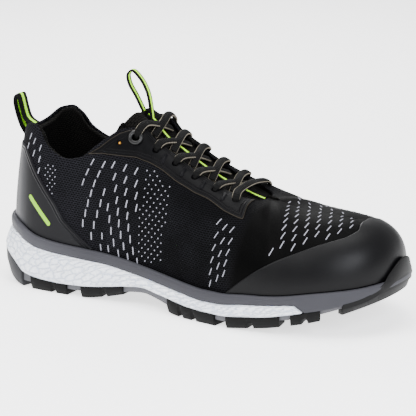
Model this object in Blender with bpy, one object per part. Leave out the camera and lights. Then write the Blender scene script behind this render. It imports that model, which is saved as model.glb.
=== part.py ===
# Safety sneaker: the right shoe of a pair, standing empty on its sole.
# Metres, +Z up. +X points to the toe, -Y is the outer (lateral) side of the foot.
# The origin is the middle of the heel's flat contact with the floor.

import math

import bmesh
import bpy
import numpy as np

# Driving dimensions of the sole
SOLE_LENGTH = 0.296
BALL_BREADTH = 0.110
HEEL_BREADTH = 0.080
SOLE_HEIGHT = 0.046
TOE_SPRING = 0.024
TRAY_WALL = 0.0032
TRAY_FLOOR = 0.0030
RAND_EDGE = 0.0008
FOAM_BULGE = 0.0006
PLATE_INSET = 0.0026
BLOCK_REACH = 0.015
BLOCK_TAPER = 0.0024
BLOCK_INSET = 0.0004
BLOCK_WAIST = 0.0006
NOTCH_DEPTH = 0.0026
NOTCH_WAIST = 0.0012
NOTCH_FOOT = 0.0045
NOTCH_SHARE = 0.007
BAR_LENGTH = 0.012
BAR_POINT = 0.004
BAR_GROOVE = 0.002
BUMPER_PROUD = 0.0008
BUMPER_LIP = 0.0006
BUMPER_START = 0.0012
BUMPER_HEIGHT = 0.0170
BUMPER_LEAN = 0.0020
BUMPER_LEAN_RISE = 0.0040
BUMPER_SWEEP = 6.0
HEEL_FLARE = 0.0048

# Driving dimensions of the upper
COLLAR_HEIGHT = 0.119
TOE_HEIGHT = 0.072
UPPER_WALL = 0.0022
COLLAR_PAD = 0.0070
OVERLAY = 0.0010
TONGUE_THIN = 0.0040
TONGUE_PAD = 0.0085
TONGUE_STAND = 0.0095
INSOLE = 0.0040

# Driving dimensions of the lacing and the loops
EYELETS = 6
EYELET_PITCH = 0.0165
EYELET_INSET = 0.0095
EYELET_BORE = 0.0046
RING_BREADTH = 0.0100
RING_HEIGHT = 0.0012
RING_EDGE = 0.0004
RING_CROWN = 0.0010
LACE_WIDTH = 0.0060
LACE_THICK = 0.0015
LACE_LIFT = 0.0011
STRIP_WIDTH = 0.0050
STRIP_THICK = 0.0008
LOOP_THICK = 0.0014
LOOP_BREADTH = 0.0120
TONGUE_LOOP_WIDTH = 0.0042
TONGUE_LOOP_HEIGHT = 0.029
HEEL_LOOP_WIDTH = 0.0115
HEEL_LOOP_HEIGHT = 0.018

# Gap that neighbouring pieces keep, and the distance at which doubled points are one
GAP = 0.0003
MERGE = 1e-6
SMOOTH_ANGLE = 35

# Where the origin lies along the sole, as a share of its length from the heel
ORIGIN_SHARE = 0.17

# Plan outline of the sole. lateral and medial are half breadths, shares of the local breadth;
# mid is the centre line's shift to the inner side, a share of the ball breadth.
OUTLINE = {
    "share":   (0.00, 0.08, 0.17, 0.28, 0.40, 0.50, 0.60, 0.68, 0.76, 0.84, 0.92, 1.00),
    "lateral": (0.440, 0.470, 0.506, 0.519, 0.492, 0.470, 0.478, 0.500, 0.495, 0.482, 0.491, 0.500),
    "medial":  (0.450, 0.462, 0.481, 0.462, 0.388, 0.369, 0.427, 0.482, 0.509, 0.518, 0.491, 0.455),
    "mid":     (0.000, 0.000, 0.000, 0.000, 0.000, 0.000, 0.000, 0.000, 0.005, 0.018, 0.045, 0.073),
}
BREADTH_BLEND = (0.30, 0.64)
HEEL_ROUNDING = (0.125, 2.15)
TOE_ROUNDING = (0.225, 2.20)

# Side of the sole. spring is a share of TOE_SPRING, flare a share of HEEL_FLARE, by which the
# heel's rand stands in from the outline; the levels stand on the sprung line and are shares
# of SOLE_HEIGHT.
SIDE = {
    "share":     (0.00, 0.04, 0.07, 0.10, 0.14, 0.20, 0.27, 0.33, 0.385, 0.43, 0.47, 0.51,
                  0.55, 0.60, 0.64, 0.70, 0.75, 0.80, 0.846, 0.90, 0.95, 1.00),
    "spring":    (0.00, 0.00, 0.00, 0.00, 0.00, 0.00, 0.00, 0.00, 0.00, 0.00, 0.00, 0.00,
                  0.00, 0.00, 0.00, 0.08, 0.16, 0.28, 0.40, 0.58, 0.79, 1.00),
    "flare":     (1.00, 1.00, 0.80, 0.55, 0.30, 0.12, 0.04, 0.00, 0.00, 0.00, 0.00, 0.00,
                  0.00, 0.00, 0.00, 0.00, 0.00, 0.00, 0.00, 0.00, 0.00, 0.00),
    "tread":     (0.26, 0.110, 0.030, 0.000, 0.000, 0.000, 0.010, 0.075, 0.165, 0.200, 0.130, 0.022,
                  0.000, 0.000, 0.000, 0.000, 0.000, 0.000, 0.000, 0.000, 0.000, 0.000),
    "plate":     (0.330, 0.200, 0.125, 0.093, 0.093, 0.093, 0.098, 0.140, 0.202, 0.235, 0.182, 0.110,
                  0.093, 0.093, 0.093, 0.093, 0.093, 0.093, 0.093, 0.093, 0.093, 0.093),
    "foam_low":  (0.520, 0.465, 0.378, 0.250, 0.195, 0.176, 0.191, 0.237, 0.296, 0.328, 0.285, 0.243,
                  0.204, 0.185, 0.183, 0.178, 0.172, 0.170, 0.172, 0.152, 0.135, 0.130),
    "foam_top":  (0.826, 0.811, 0.791, 0.730, 0.661, 0.628, 0.607, 0.585, 0.539, 0.500, 0.457, 0.417,
                  0.383, 0.346, 0.354, 0.361, 0.348, 0.322, 0.274, 0.222, 0.144, 0.083),
    "band":      (1.000, 0.983, 0.957, 0.904, 0.830, 0.785, 0.765, 0.739, 0.696, 0.654, 0.611, 0.572,
                  0.537, 0.507, 0.509, 0.500, 0.476, 0.448, 0.433, 0.383, 0.304, 0.239),
}
# The foam ends in a slant under the ball, and the tray fills the toe ahead of it
FOAM_SLANT = (0.824, 0.838, 0.846)
# Side face of the foam: share of its height, of FOAM_BULGE and of the heel's flare
FOAM_FACE = ((0.00, -1.0, 0.00), (0.30, 1.0, 0.25), (0.70, 1.0, 0.70), (1.00, 0.0, 1.00))

# Stations round the outline: the heel's and the toe's share and count, and even spans between
HEEL_STATIONS = (0.10, 6)
TOE_STATIONS = (0.21, 8)
SPAN_STATIONS = ((0.10, 0.20, 6), (0.20, 0.36, 5), (0.36, 0.44, 4), (0.44, 0.71, 7), (0.71, 0.79, 4))

# Top line of the upper: collar, then throat edge, then the ridge of the vamp and toe box.
# share runs along the sole's outline; along is a share of SOLE_LENGTH, half and mid are shares
# of BALL_BREADTH, height a share of the local height, and bend the power of the side's curve.
TOP = {
    "share":  (0.00, 0.02, 0.05, 0.10, 0.14, 0.17, 0.21, 0.25, 0.29, 0.325, 0.355, 0.385, 0.41, 0.45,
               0.50, 0.56, 0.62, 0.67, 0.71, 0.74, 0.765, 0.80, 0.84, 0.88, 0.92, 0.96, 1.00),
    "along":  (0.067, 0.073, 0.087, 0.116, 0.142, 0.164, 0.209, 0.247, 0.287, 0.323, 0.351, 0.377, 0.392, 0.422,
               0.466, 0.520, 0.574, 0.622, 0.652, 0.672, 0.682, 0.706, 0.740, 0.777, 0.814, 0.851, 0.885),
    "half":   (0.000, 0.110, 0.185, 0.240, 0.265, 0.278, 0.292, 0.292, 0.280, 0.262, 0.234, 0.190, 0.159, 0.146,
               0.144, 0.144, 0.148, 0.150, 0.130, 0.080, 0.000, 0.000, 0.000, 0.000, 0.000, 0.000, 0.000),
    "mid":    (0.000, 0.000, 0.000, 0.000, 0.000, 0.000, 0.000, 0.000, 0.000, 0.000, 0.000, 0.000, 0.000, 0.000,
               0.000, 0.000, 0.000, 0.000, 0.000, 0.000, 0.000, 0.003, 0.009, 0.016, 0.024, 0.033, 0.043),
    "height": (0.918, 0.930, 0.953, 0.966, 0.920, 0.848, 0.800, 0.820, 0.893, 0.956, 0.995, 1.002, 0.988, 0.930,
               0.895, 0.868, 0.869, 0.892, 0.922, 0.960, 0.990, 1.015, 1.008, 0.994, 0.982, 0.970, 0.952),
    "bend":   (1.38, 1.38, 1.38, 1.40, 1.42, 1.46, 1.54, 1.62, 1.72, 1.80, 1.88, 1.95, 2.00, 2.00,
               2.00, 2.02, 2.05, 2.06, 2.08, 2.08, 2.08, 2.10, 2.15, 2.22, 2.32, 2.42, 2.50),
}
HEIGHT_BLEND = (0.41, 0.86)
THROAT_END = 0.765

# Edges of the overlays in the side view, from the rear: shares of SOLE_LENGTH along,
# and of the height named beside each
COUNTER_EDGE = {      # of COLLAR_HEIGHT
    "share":  (-0.05, 0.095, 0.118, 0.137, 0.163, 0.191, 0.214, 0.250, 0.304),
    "height": (0.830, 0.830, 0.756, 0.688, 0.609, 0.531, 0.444, 0.375, 0.278),
}
TOE_CAP_EDGE = {      # of TOE_HEIGHT
    "share":  (0.650, 0.693, 0.731, 0.770, 0.801, 0.848, 0.875, 0.900, 0.914, 0.905, 0.885, 1.050, 1.050),
    "height": (0.310, 0.462, 0.582, 0.678, 0.735, 0.815, 0.850, 0.878, 0.915, 0.950, 1.150, 1.150, 0.000),
}
TOE_CAP_ROW = 0.965
EYESTAY_EDGE = {      # of COLLAR_HEIGHT
    "share":  (0.268, 0.304, 0.328, 0.350, 0.370, 0.388, 0.400, 0.660, 0.656, 0.664,
               0.677, 0.660, 0.622, 0.578, 0.544, 0.497, 0.462, 0.426, 0.395, 0.340, 0.310),
    "height": (0.832, 0.885, 0.935, 0.973, 0.990, 0.990, 1.200, 1.200, 0.700, 0.650,
               0.583, 0.592, 0.620, 0.668, 0.692, 0.740, 0.787, 0.824, 0.845, 0.848, 0.848),
}
EYELET_START = 0.393

# Upper face of the tongue: stations under the facings, each with the rise of its middle,
# then the sections of its free top as (stand, narrowing, drop of the sides)
TONGUE = {
    "share": (0.385, 0.41, 0.45, 0.50, 0.56, 0.62, 0.67, 0.72, 0.765, 0.80),
    "lift":  (0.0042, 0.0028, 0.0012, 0.0008, 0.0008, 0.0008, 0.0006, 0.0003, 0.0, 0.0),
}
TONGUE_ROWS = (0.74, 0.83, 0.92, 1.0)
TONGUE_ARCH = (0.25, 0.5, 0.75)
TONGUE_PAD_END = 0.35
TONGUE_TOP = ((1.0, 0.88, 0.001), (0.5, 0.93, 0.0005))

# Lace tapes: where they pass over the facing's edge and stop at the other one,
# as shares of the way from one eyelet to the next
LACE_OVER = 0.20
LACE_UNDER = 0.70
LACE_STOP = 0.76
# How far the upper tape of a crossing is raised over the lower one, of LACE_THICK
LACE_RISE = 0.6
STRIP_END = 0.668

# Loops in the side view from their base: forwards as a share of LOOP_BREADTH, up as a share of the height
TONGUE_LOOP = ((-0.15, -0.55, -1.00, -1.08, -0.80, -0.20, 0.25, 0.42, 0.38),
               (0.02, 0.40, 0.70, 0.90, 1.00, 0.82, 0.52, 0.20, 0.01))
HEEL_LOOP = ((-0.80, -1.12, -1.20, -1.02, -0.70, -0.38, -0.18, -0.06),
             (-0.20, 0.38, 0.74, 0.94, 1.00, 0.84, 0.44, 0.06))

# Tread blocks: shares along the outline from start to end, and the shares of their notches
HEEL_BLOCK_END = 0.085
HEEL_BLOCKS = ((0.125, 0.225, (0.188,)), (0.265, 0.375, (0.325,)))
BALL_BLOCKS = ((0.500, 0.630, (0.535, 0.572)), (0.662, 0.790, (0.722,)), (0.815, 0.878, (0.846,)))
TOE_BLOCK_START = 0.900
HEEL_BARS = (0.115, 0.17, 0.225)
BALL_BARS = (0.545, 0.60, 0.655, 0.71, 0.765, 0.82)

# Rows of the upper's mesh between the rand's top (0) and the top line (1)
ROWS = (0.00, 0.12, 0.26, 0.40, 0.54, 0.68, 0.80, 0.90, 1.00)

# Where the collar's pad swells in the side, as rows, and where it fades forwards, as shares
PAD_ROWS = (0.45, 0.90)
PAD_FADE = (0.285, 0.355)


def column(table, name, share):
    # Smooth curve through one column of a table, without overshoot between its rows
    xs = np.asarray(table["share"])
    ys = np.asarray(table[name])
    steps = np.diff(xs)
    slopes = np.diff(ys) / steps
    tangents = np.zeros(len(ys))
    tangents[0] = slopes[0]
    tangents[-1] = slopes[-1]
    for row in range(1, len(ys) - 1):
        before = slopes[row - 1]
        after = slopes[row]
        if before * after > 0:
            first = 2 * steps[row] + steps[row - 1]
            second = steps[row] + 2 * steps[row - 1]
            tangents[row] = (first + second) / (first / before + second / after)
    share = np.clip(np.asarray(share, dtype=float), xs[0], xs[-1])
    row = np.clip(np.searchsorted(xs, share, side="right") - 1, 0, len(steps) - 1)
    part = (share - xs[row]) / steps[row]
    rise = ys[row + 1] - ys[row]
    start = tangents[row] * steps[row]
    end = tangents[row + 1] * steps[row]
    bend = (start + end - 2 * rise) * part + (3 * rise - 2 * start - end)
    return ys[row] + part * (start + part * bend)


def blend(share, rear, front, limits):
    # A size that passes smoothly from its rear value to its front value along the shoe
    part = np.clip((share - limits[0]) / (limits[1] - limits[0]), 0, 1)
    return rear + (front - rear) * part * part * (3 - 2 * part)


def station_shares():
    # Stations along the outline: close where the heel, collar, throat and toe turn
    reach, count = HEEL_STATIONS
    heel = reach * (1 - np.cos(np.linspace(0, math.pi / 2, count)))
    reach, count = TOE_STATIONS
    toe = 1 - reach * (1 - np.cos(np.linspace(math.pi / 2, 0, count)))
    middle = [np.linspace(start, end, count)[1:] for start, end, count in SPAN_STATIONS]
    extra = FOAM_SLANT + (THROAT_END,)
    return np.unique(np.concatenate([heel, *middle, toe[1:], extra]).round(6))


def outline_y(share, side):
    # Plan outline: side is -1 for lateral, +1 for medial
    reach, power = HEEL_ROUNDING
    heel = (1 - (1 - np.clip(share / reach, 0, 1)) ** power) ** (1 / power)
    reach, power = TOE_ROUNDING
    toe = (1 - (1 - np.clip((1 - share) / reach, 0, 1)) ** power) ** (1 / power)
    breadth = blend(share, HEEL_BREADTH, BALL_BREADTH, BREADTH_BLEND)
    half = np.where(side < 0, column(OUTLINE, "lateral", share), column(OUTLINE, "medial", share))
    return column(OUTLINE, "mid", share) * BALL_BREADTH + side * half * breadth * heel * toe


class Loop:
    # A run of stations round the sole's outline: heel, lateral side, toe, medial side
    def __init__(self, shares, sides, closed=True):
        self.share = np.asarray(shares, dtype=float)
        self.side = np.asarray(sides, dtype=float)
        self.xy = self.points(self.share, self.side)
        if closed:
            tangent = np.roll(self.xy, -1, axis=0) - np.roll(self.xy, 1, axis=0)
        else:
            tangent = np.gradient(self.xy, axis=0)
        tangent /= np.linalg.norm(tangent, axis=1)[:, None]
        self.normal = np.stack([tangent[:, 1], -tangent[:, 0]], axis=1)
        if not closed and (self.share[-1] - self.share[0]) * self.side[0] > 0:
            self.normal = -self.normal

    def points(self, share, side):
        x = (share - ORIGIN_SHARE) * SOLE_LENGTH
        return np.stack([x, outline_y(share, side)], axis=1)

    def ring(self, offset, height):
        # Outline moved outwards by offset, at the given heights
        offset = np.broadcast_to(offset, self.share.shape)
        height = np.broadcast_to(height, self.share.shape)
        return np.column_stack([self.xy + self.normal * offset[:, None], height])

    def place(self, offset):
        # Where the moved outline lies along the sole, as shares of its length
        return self.xy[:, 0] / SOLE_LENGTH + self.normal[:, 0] * offset / SOLE_LENGTH + ORIGIN_SHARE


def whole_loop(shares):
    inner = shares[1:-1]
    loop_shares = np.concatenate([shares, inner[::-1]])
    sides = np.concatenate([-np.ones(len(shares)), np.ones(len(inner))])
    return Loop(loop_shares, sides)


def level(name, share):
    # Height of a line on the side of the sole, straight between the stations
    stations = station_shares()
    spring = TOE_SPRING * column(SIDE, "spring", stations)
    return np.interp(share, stations, spring + SOLE_HEIGHT * column(SIDE, name, stations))


def tray_under(share):
    # Underside of the tray: on the foam, then down the slant to the outsole
    slant = np.clip((share - FOAM_SLANT[0]) / (FOAM_SLANT[2] - FOAM_SLANT[0]), 0, 1)
    return level("foam_top", share) * (1 - slant) + level("foam_low", share) * slant


def flare(share):
    return HEEL_FLARE * column(SIDE, "flare", share)


def footbed(share):
    return level("foam_top", share) + TRAY_FLOOR


def material(name, colour, roughness, metallic=0.0):
    finish = bpy.data.materials.new(name)
    finish.use_nodes = True
    shader = finish.node_tree.nodes["Principled BSDF"]
    shader.inputs["Base Color"].default_value = (*colour, 1)
    shader.inputs["Roughness"].default_value = roughness
    shader.inputs["Metallic"].default_value = metallic
    finish.diffuse_color = (*colour, 1)
    return finish


def add_object(name, points, faces, finish):
    # One closed piece from its points and faces, doubles merged and faces turned outwards
    mesh = bpy.data.meshes.new(name)
    mesh.from_pydata([tuple(map(float, point)) for point in points], [], faces)
    shape = bmesh.new()
    shape.from_mesh(mesh)
    bmesh.ops.remove_doubles(shape, verts=shape.verts, dist=MERGE)
    bmesh.ops.recalc_face_normals(shape, faces=shape.faces)
    bmesh.ops.triangulate(shape, faces=shape.faces)
    shape.to_mesh(mesh)
    shape.free()
    mesh.materials.append(finish)
    mesh.shade_smooth()
    mesh.set_sharp_from_angle(angle=math.radians(SMOOTH_ANGLE))
    piece = bpy.data.objects.new(name, mesh)
    bpy.context.collection.objects.link(piece)
    return piece


def band_faces(first, second, count, closed=True):
    # Quads between two rings of points that start at the given indices
    last = count if closed else count - 1
    faces = []
    for i in range(last):
        j = (i + 1) % count
        faces.append((first + i, first + j, second + j, second + i))
    return faces


def cross_strips(start, count):
    # Faces that close a ring, each strip joining a lateral point to the medial one beside it
    faces = []
    for i in range((count + 1) // 2):
        corners = (i, i + 1, count - i - 1, count - i)
        ring = []
        for corner in corners:
            index = start + corner % count
            if index not in ring:
                ring.append(index)
        if len(ring) > 2:
            faces.append(tuple(ring))
    return faces


def layered(name, rings, finish):
    # A slab of the sole: rings from its underside to its upper face, both closed by strips
    count = len(rings[0])
    faces = cross_strips(0, count)
    for i in range(len(rings) - 1):
        faces += band_faces(i * count, (i + 1) * count, count)
    faces += cross_strips((len(rings) - 1) * count, count)
    return add_object(name, np.concatenate(rings), faces, finish)


def lofted(name, sections, finish):
    # A bar with equal closed sections, its two ends closed
    count = len(sections[0])
    faces = [tuple(range(count))]
    for i in range(len(sections) - 1):
        faces += band_faces(i * count, (i + 1) * count, count)
    last = (len(sections) - 1) * count
    faces.append(tuple(range(last, last + count)))
    return add_object(name, np.concatenate(sections), faces, finish)


def thickened(name, outer, inner, finish):
    # A sheet with two faces and four edges, from two grids of points
    rows, columns = outer.shape[:2]
    size = rows * columns
    faces = []
    for row in range(rows - 1):
        for col in range(columns - 1):
            a = row * columns + col
            b = a + columns
            faces.append((a, a + 1, b + 1, b))
            faces.append((size + a, size + b, size + b + 1, size + a + 1))
    edge = list(range(columns))
    edge += [row * columns + columns - 1 for row in range(1, rows)]
    edge += [(rows - 1) * columns + col for col in range(columns - 2, -1, -1)]
    edge += [row * columns for row in range(rows - 2, 0, -1)]
    for i, a in enumerate(edge):
        b = edge[(i + 1) % len(edge)]
        faces.append((a, b, size + b, size + a))
    points = np.concatenate([outer.reshape(-1, 3), inner.reshape(-1, 3)])
    return add_object(name, points, faces, finish)


def grid_normals(grid):
    # Normals of an open grid of points
    along = np.gradient(grid, axis=1)
    across = np.gradient(grid, axis=0)
    normal = np.cross(along, across)
    return normal / np.linalg.norm(normal, axis=2)[:, :, None]


# Upper

def top_line(share, side):
    height = blend(share, COLLAR_HEIGHT, TOE_HEIGHT, HEIGHT_BLEND) * column(TOP, "height", share)
    x = (column(TOP, "along", share) - ORIGIN_SHARE) * SOLE_LENGTH
    y = BALL_BREADTH * (column(TOP, "mid", share) + side * column(TOP, "half", share))
    return np.stack([x, y, height], axis=-1)


def upper_rows(loop, rows):
    # Outer face of the upper: a grid with a row for each height share and a column a station
    # Rows below zero run down inside the tray, from the rand's top to the footbed
    foot = loop.ring(-(TRAY_WALL + GAP) - flare(loop.share), 0)
    rand = level("band", loop.share) + GAP
    floor = footbed(loop.share) + GAP
    top = top_line(loop.share, loop.side)
    bend = 2 / column(TOP, "bend", loop.share)
    grid = []
    for row in rows:
        turn = max(row, 0) * math.pi / 2
        inward = (1 - math.cos(turn) ** bend)[:, None]
        climb = math.sin(turn) ** bend
        points = foot + (top - foot) * inward
        points[:, 2] = rand + (top[:, 2] - rand) * climb
        if row < 0:
            points[:, 2] = rand + (floor - rand) * -row
        grid.append(points)
    return np.array(grid)


def upper_normals(loop, grid):
    # Outward normals; the two sides share one normal where they meet along the ridge
    along = np.roll(grid, -1, axis=1) - np.roll(grid, 1, axis=1)
    across = np.gradient(grid, axis=0)
    normal = np.cross(along, across)
    count = len(loop.share)
    half = count // 2
    for i in range(1, half):
        if loop.share[i] >= THROAT_END - MERGE:
            pair = normal[-1, i] + normal[-1, count - i]
            normal[-1, i] = pair
            normal[-1, count - i] = pair
    return normal / np.linalg.norm(normal, axis=2)[:, :, None]


def wall(loop, rows):
    # Wall of the upper: thicker in the collar's pad
    share = loop.share[None, :]
    row = np.asarray(rows)[:, None]
    padded = blend(row, 0.0, 1.0, PAD_ROWS) * blend(share, 1.0, 0.0, PAD_FADE)
    return UPPER_WALL + (COLLAR_PAD - UPPER_WALL) * padded


def make_upper(loop, finish):
    rows = (-1.0,) + ROWS
    outer = upper_rows(loop, rows)
    normal = upper_normals(loop, outer)
    inner = outer - normal * wall(loop, rows)[:, :, None]
    count = len(loop.share)
    height = len(rows)
    size = count * height
    faces = []
    for row in range(height - 1):
        faces += band_faces(row * count, (row + 1) * count, count)
        faces += band_faces(size + row * count, size + (row + 1) * count, count)
    faces += band_faces(0, size, count)
    top = (height - 1) * count
    for i in range(count):
        j = (i + 1) % count
        if min(loop.share[i], loop.share[j]) < THROAT_END - MERGE:
            faces.append((top + i, top + j, size + top + j, size + top + i))
    points = np.concatenate([outer.reshape(-1, 3), inner.reshape(-1, 3)])
    return add_object("upper", points, faces, finish)


def overlay(name, loop, columns, rows, finish):
    # Sheet on the upper over a run of its stations, a gap clear of it
    outer = upper_rows(loop, rows)
    normal = upper_normals(loop, outer)
    chosen = outer[:, columns]
    out = normal[:, columns]
    return thickened(name, chosen + out * (GAP + OVERLAY), chosen + out * GAP, finish)


def cutter(name, points, faces):
    mesh = bpy.data.meshes.new(name)
    mesh.from_pydata([tuple(map(float, point)) for point in points], [], faces)
    shape = bmesh.new()
    shape.from_mesh(mesh)
    bmesh.ops.recalc_face_normals(shape, faces=shape.faces)
    shape.to_mesh(mesh)
    shape.free()
    tool = bpy.data.objects.new(name, mesh)
    bpy.context.collection.objects.link(tool)
    tool.hide_render = True
    tool.display_type = "WIRE"
    return tool


def side_cutter(name, along, up, near, far):
    # A prism across the shoe with the outline given in the side view
    count = len(along)
    x = (np.asarray(along) - ORIGIN_SHARE) * SOLE_LENGTH
    points = [(a, y, b) for y in (near, far) for a, b in zip(x, up)]
    faces = [tuple(range(count)), tuple(range(count, 2 * count))]
    faces += band_faces(0, count, count)
    return cutter(name, points, faces)


def cut(piece, tool, operation):
    step = piece.modifiers.new(tool.name, "BOOLEAN")
    step.operation = operation
    step.object = tool
    step.solver = "EXACT"


def heel_counter(loop, finish):
    count = len(loop.share)
    last = min(share for share in loop.share if share > COUNTER_EDGE["share"][-1])
    half = [i for i in range(count // 2) if loop.share[i] <= last]
    columns = [count - i for i in reversed(half[1:])] + half
    piece = overlay("heel_counter", loop, columns, ROWS[:-1], finish)
    behind = COUNTER_EDGE["share"][0]
    along = COUNTER_EDGE["share"] + (COUNTER_EDGE["share"][-1], behind, behind)
    up = [COLLAR_HEIGHT * height for height in COUNTER_EDGE["height"]]
    up += [0, 0, up[0]]
    cut(piece, side_cutter("counter_outline", along, up, -BALL_BREADTH, BALL_BREADTH), "INTERSECT")


def toe_cap(loop, finish):
    count = len(loop.share)
    first = max(share for share in loop.share if share < TOE_CAP_EDGE["share"][0])
    columns = [i for i in range(count) if loop.share[i] >= first]
    piece = overlay("toe_cap", loop, columns, ROWS[:-1] + (TOE_CAP_ROW,), finish)
    up = [TOE_HEIGHT * height for height in TOE_CAP_EDGE["height"]]
    tool = side_cutter("toe_cap_outline", TOE_CAP_EDGE["share"], up, -BALL_BREADTH, BALL_BREADTH)
    cut(piece, tool, "INTERSECT")


def eyestay(name, loop, side, finish):
    first = max(share for share in loop.share if share < EYESTAY_EDGE["share"][0])
    columns = [i for i in range(len(loop.share))
               if loop.side[i] == side and first <= loop.share[i] < THROAT_END - MERGE]
    piece = overlay(name, loop, columns, ROWS[3:], finish)
    up = [COLLAR_HEIGHT * height for height in EYESTAY_EDGE["height"]]
    tool = side_cutter(name + "_outline", EYESTAY_EDGE["share"], up, side * OVERLAY, side * BALL_BREADTH)
    cut(piece, tool, "INTERSECT")
    return piece


# Eyelets

def eyelet_row(side):
    # Places and normals of one row of eyelets, a fixed way in from the throat's edge
    shares = np.linspace(EYELET_START, THROAT_END - 0.02, 90)
    loop = Loop(shares, np.full(len(shares), side), closed=False)
    rows = np.linspace(0.5, 1.0, 41)
    grid = upper_rows(loop, rows)
    steps = np.linalg.norm(np.diff(grid[::-1], axis=0), axis=2)
    inset = np.concatenate([np.zeros((1, len(shares))), np.cumsum(steps, axis=0)])
    row = np.array([np.interp(EYELET_INSET, inset[:, i], rows[::-1]) for i in range(len(shares))])
    line = np.array([[np.interp(row[i], rows, grid[:, i, k]) for k in range(3)] for i in range(len(shares))])
    run = np.concatenate([[0], np.cumsum(np.linalg.norm(np.diff(line, axis=0), axis=1))])
    normal = np.cross(np.gradient(grid, axis=1), np.gradient(grid, axis=0))
    normal /= np.linalg.norm(normal, axis=2)[:, :, None]
    if side > 0:
        normal = -normal
    eyelets = []
    for k in range(EYELETS):
        at = EYELET_PITCH * k
        i = int(np.argmin(np.abs(run - at)))
        j = int(np.argmin(np.abs(rows - row[i])))
        place = np.array([np.interp(at, run, line[:, axis]) for axis in range(3)])
        eyelets.append((place, normal[j, i], float(np.interp(at, run, shares)), float(np.interp(at, run, row))))
    return eyelets


def axes_for(normal):
    first = np.cross(normal, (1.0, 0.0, 0.0))
    first /= np.linalg.norm(first)
    return first, np.cross(normal, first)


def circle(centre, normal, radius, count):
    first, second = axes_for(normal)
    turns = [2 * math.pi * i / count for i in range(count)]
    return np.array([centre + radius * (first * math.cos(t) + second * math.sin(t)) for t in turns])


def eyelet_bores(name, eyelets):
    # One bore through the eyestay and the upper for each eyelet
    points = []
    faces = []
    sides = 8
    depth = UPPER_WALL * 2
    for place, normal, _share, _row in eyelets:
        start = len(points)
        points += list(circle(place - normal * depth, normal, EYELET_BORE / 2, sides))
        points += list(circle(place + normal * depth, normal, EYELET_BORE / 2, sides))
        faces.append(tuple(range(start, start + sides)))
        faces.append(tuple(range(start + sides, start + 2 * sides)))
        faces += band_faces(start, start + sides, sides)
    return cutter(name, points, faces)


def eyelet_ring(name, eyelet, finish):
    place, normal, _share, _row = eyelet
    base = 2 * GAP + OVERLAY
    profile = (
        (EYELET_BORE / 2, base),
        (RING_BREADTH / 2, base),
        (RING_BREADTH / 2 - RING_EDGE, base + RING_HEIGHT * 0.7),
        (RING_BREADTH / 2 - RING_EDGE - RING_CROWN, base + RING_HEIGHT),
        (EYELET_BORE / 2 + RING_EDGE, base + RING_HEIGHT * 0.8),
    )
    sides = 12
    rings = [circle(place + normal * height, normal, radius, sides) for radius, height in profile]
    faces = []
    for i in range(len(rings)):
        faces += band_faces(i * sides, (i + 1) % len(rings) * sides, sides)
    add_object(name, np.concatenate(rings), faces, finish)


# Tongue

def tongue_surface():
    # Upper face of the tongue: under the facings it follows the upper, between them it arches
    shares = np.array(TONGUE["share"])
    lateral = Loop(shares, np.full(len(shares), -1.0), closed=False)
    medial = Loop(shares, np.full(len(shares), 1.0), closed=False)
    clear = UPPER_WALL + 2 * GAP
    flanks = []
    for loop in (lateral, medial):
        grid = upper_rows(loop, TONGUE_ROWS)
        along = np.gradient(grid, axis=1)
        across = np.gradient(grid, axis=0)
        normal = np.cross(along, across)
        normal /= np.linalg.norm(normal, axis=2)[:, :, None]
        flanks.append(grid - normal * clear * (1 if loop is lateral else -1))
    sections = []
    for i in range(len(shares)):
        near = flanks[0][:, i]
        far = flanks[1][::-1, i]
        middle = []
        for part in TONGUE_ARCH:
            point = near[-1] * (1 - part) + far[0] * part
            point[2] += TONGUE["lift"][i] * 4 * part * (1 - part)
            middle.append(point)
        sections.append(np.concatenate([near, middle, far]))
    top = sections[0]
    run = np.array(sections[0][len(TONGUE_ROWS) + 1] - sections[1][len(TONGUE_ROWS) + 1])
    run /= np.linalg.norm(run)
    raised = []
    for stand, narrow, droop in TONGUE_TOP:
        section = top + run * TONGUE_STAND * stand
        section[:, 1] *= narrow
        across = np.abs(section[:, 1]) / np.abs(section[0, 1])
        section[:, 2] -= droop * across ** 2
        raised.append(section)
    return np.array(raised + sections)


def make_tongue(finish):
    outer = tongue_surface()
    normal = -grid_normals(outer)
    rows = np.linspace(0, 1, len(outer))
    thick = TONGUE_PAD + (TONGUE_THIN - TONGUE_PAD) * np.clip(rows / TONGUE_PAD_END, 0, 1)
    inner = outer - normal * thick[:, None, None]
    thickened("tongue", outer, inner, finish)
    crest = outer[:, outer.shape[1] // 2]
    return crest, normal[:, outer.shape[1] // 2]


# Tapes: laces, strip and loops

def tape_sections(path, up, width, thick):
    # Rectangular sections along a path, flat side facing up
    path = np.asarray(path)
    up = np.asarray(up)
    tangent = np.gradient(path, axis=0)
    tangent /= np.linalg.norm(tangent, axis=1)[:, None]
    side = np.cross(tangent, up)
    side /= np.linalg.norm(side, axis=1)[:, None]
    face = np.cross(side, tangent)
    sections = []
    for place, s, f in zip(path, side, face):
        half = s * width / 2
        rise = f * thick / 2
        sections.append(np.array([place - half - rise, place + half - rise, place + half + rise, place - half + rise]))
    return sections


def smooth_path(points, count):
    # A smooth run of points through the given ones
    points = np.asarray(points)
    knots = np.linspace(0, 1, len(points))
    at = np.linspace(0, 1, count)
    table = {"share": knots, "x": points[:, 0], "y": points[:, 1], "z": points[:, 2]}
    return np.column_stack([column(table, axis, at) for axis in "xyz"])


def surface_point(share, side, row, climb):
    # A point above the upper's face, and the way up there
    near = EYELET_BORE / SOLE_LENGTH
    loop = Loop([share - near, share, share + near], [side] * 3, closed=False)
    grid = upper_rows(loop, (row - near, row))
    normal = np.cross(grid[1, 2] - grid[1, 0], grid[1, 1] - grid[0, 1])
    normal *= -side / np.linalg.norm(normal)
    return grid[1, 1] + normal * climb, normal


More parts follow.
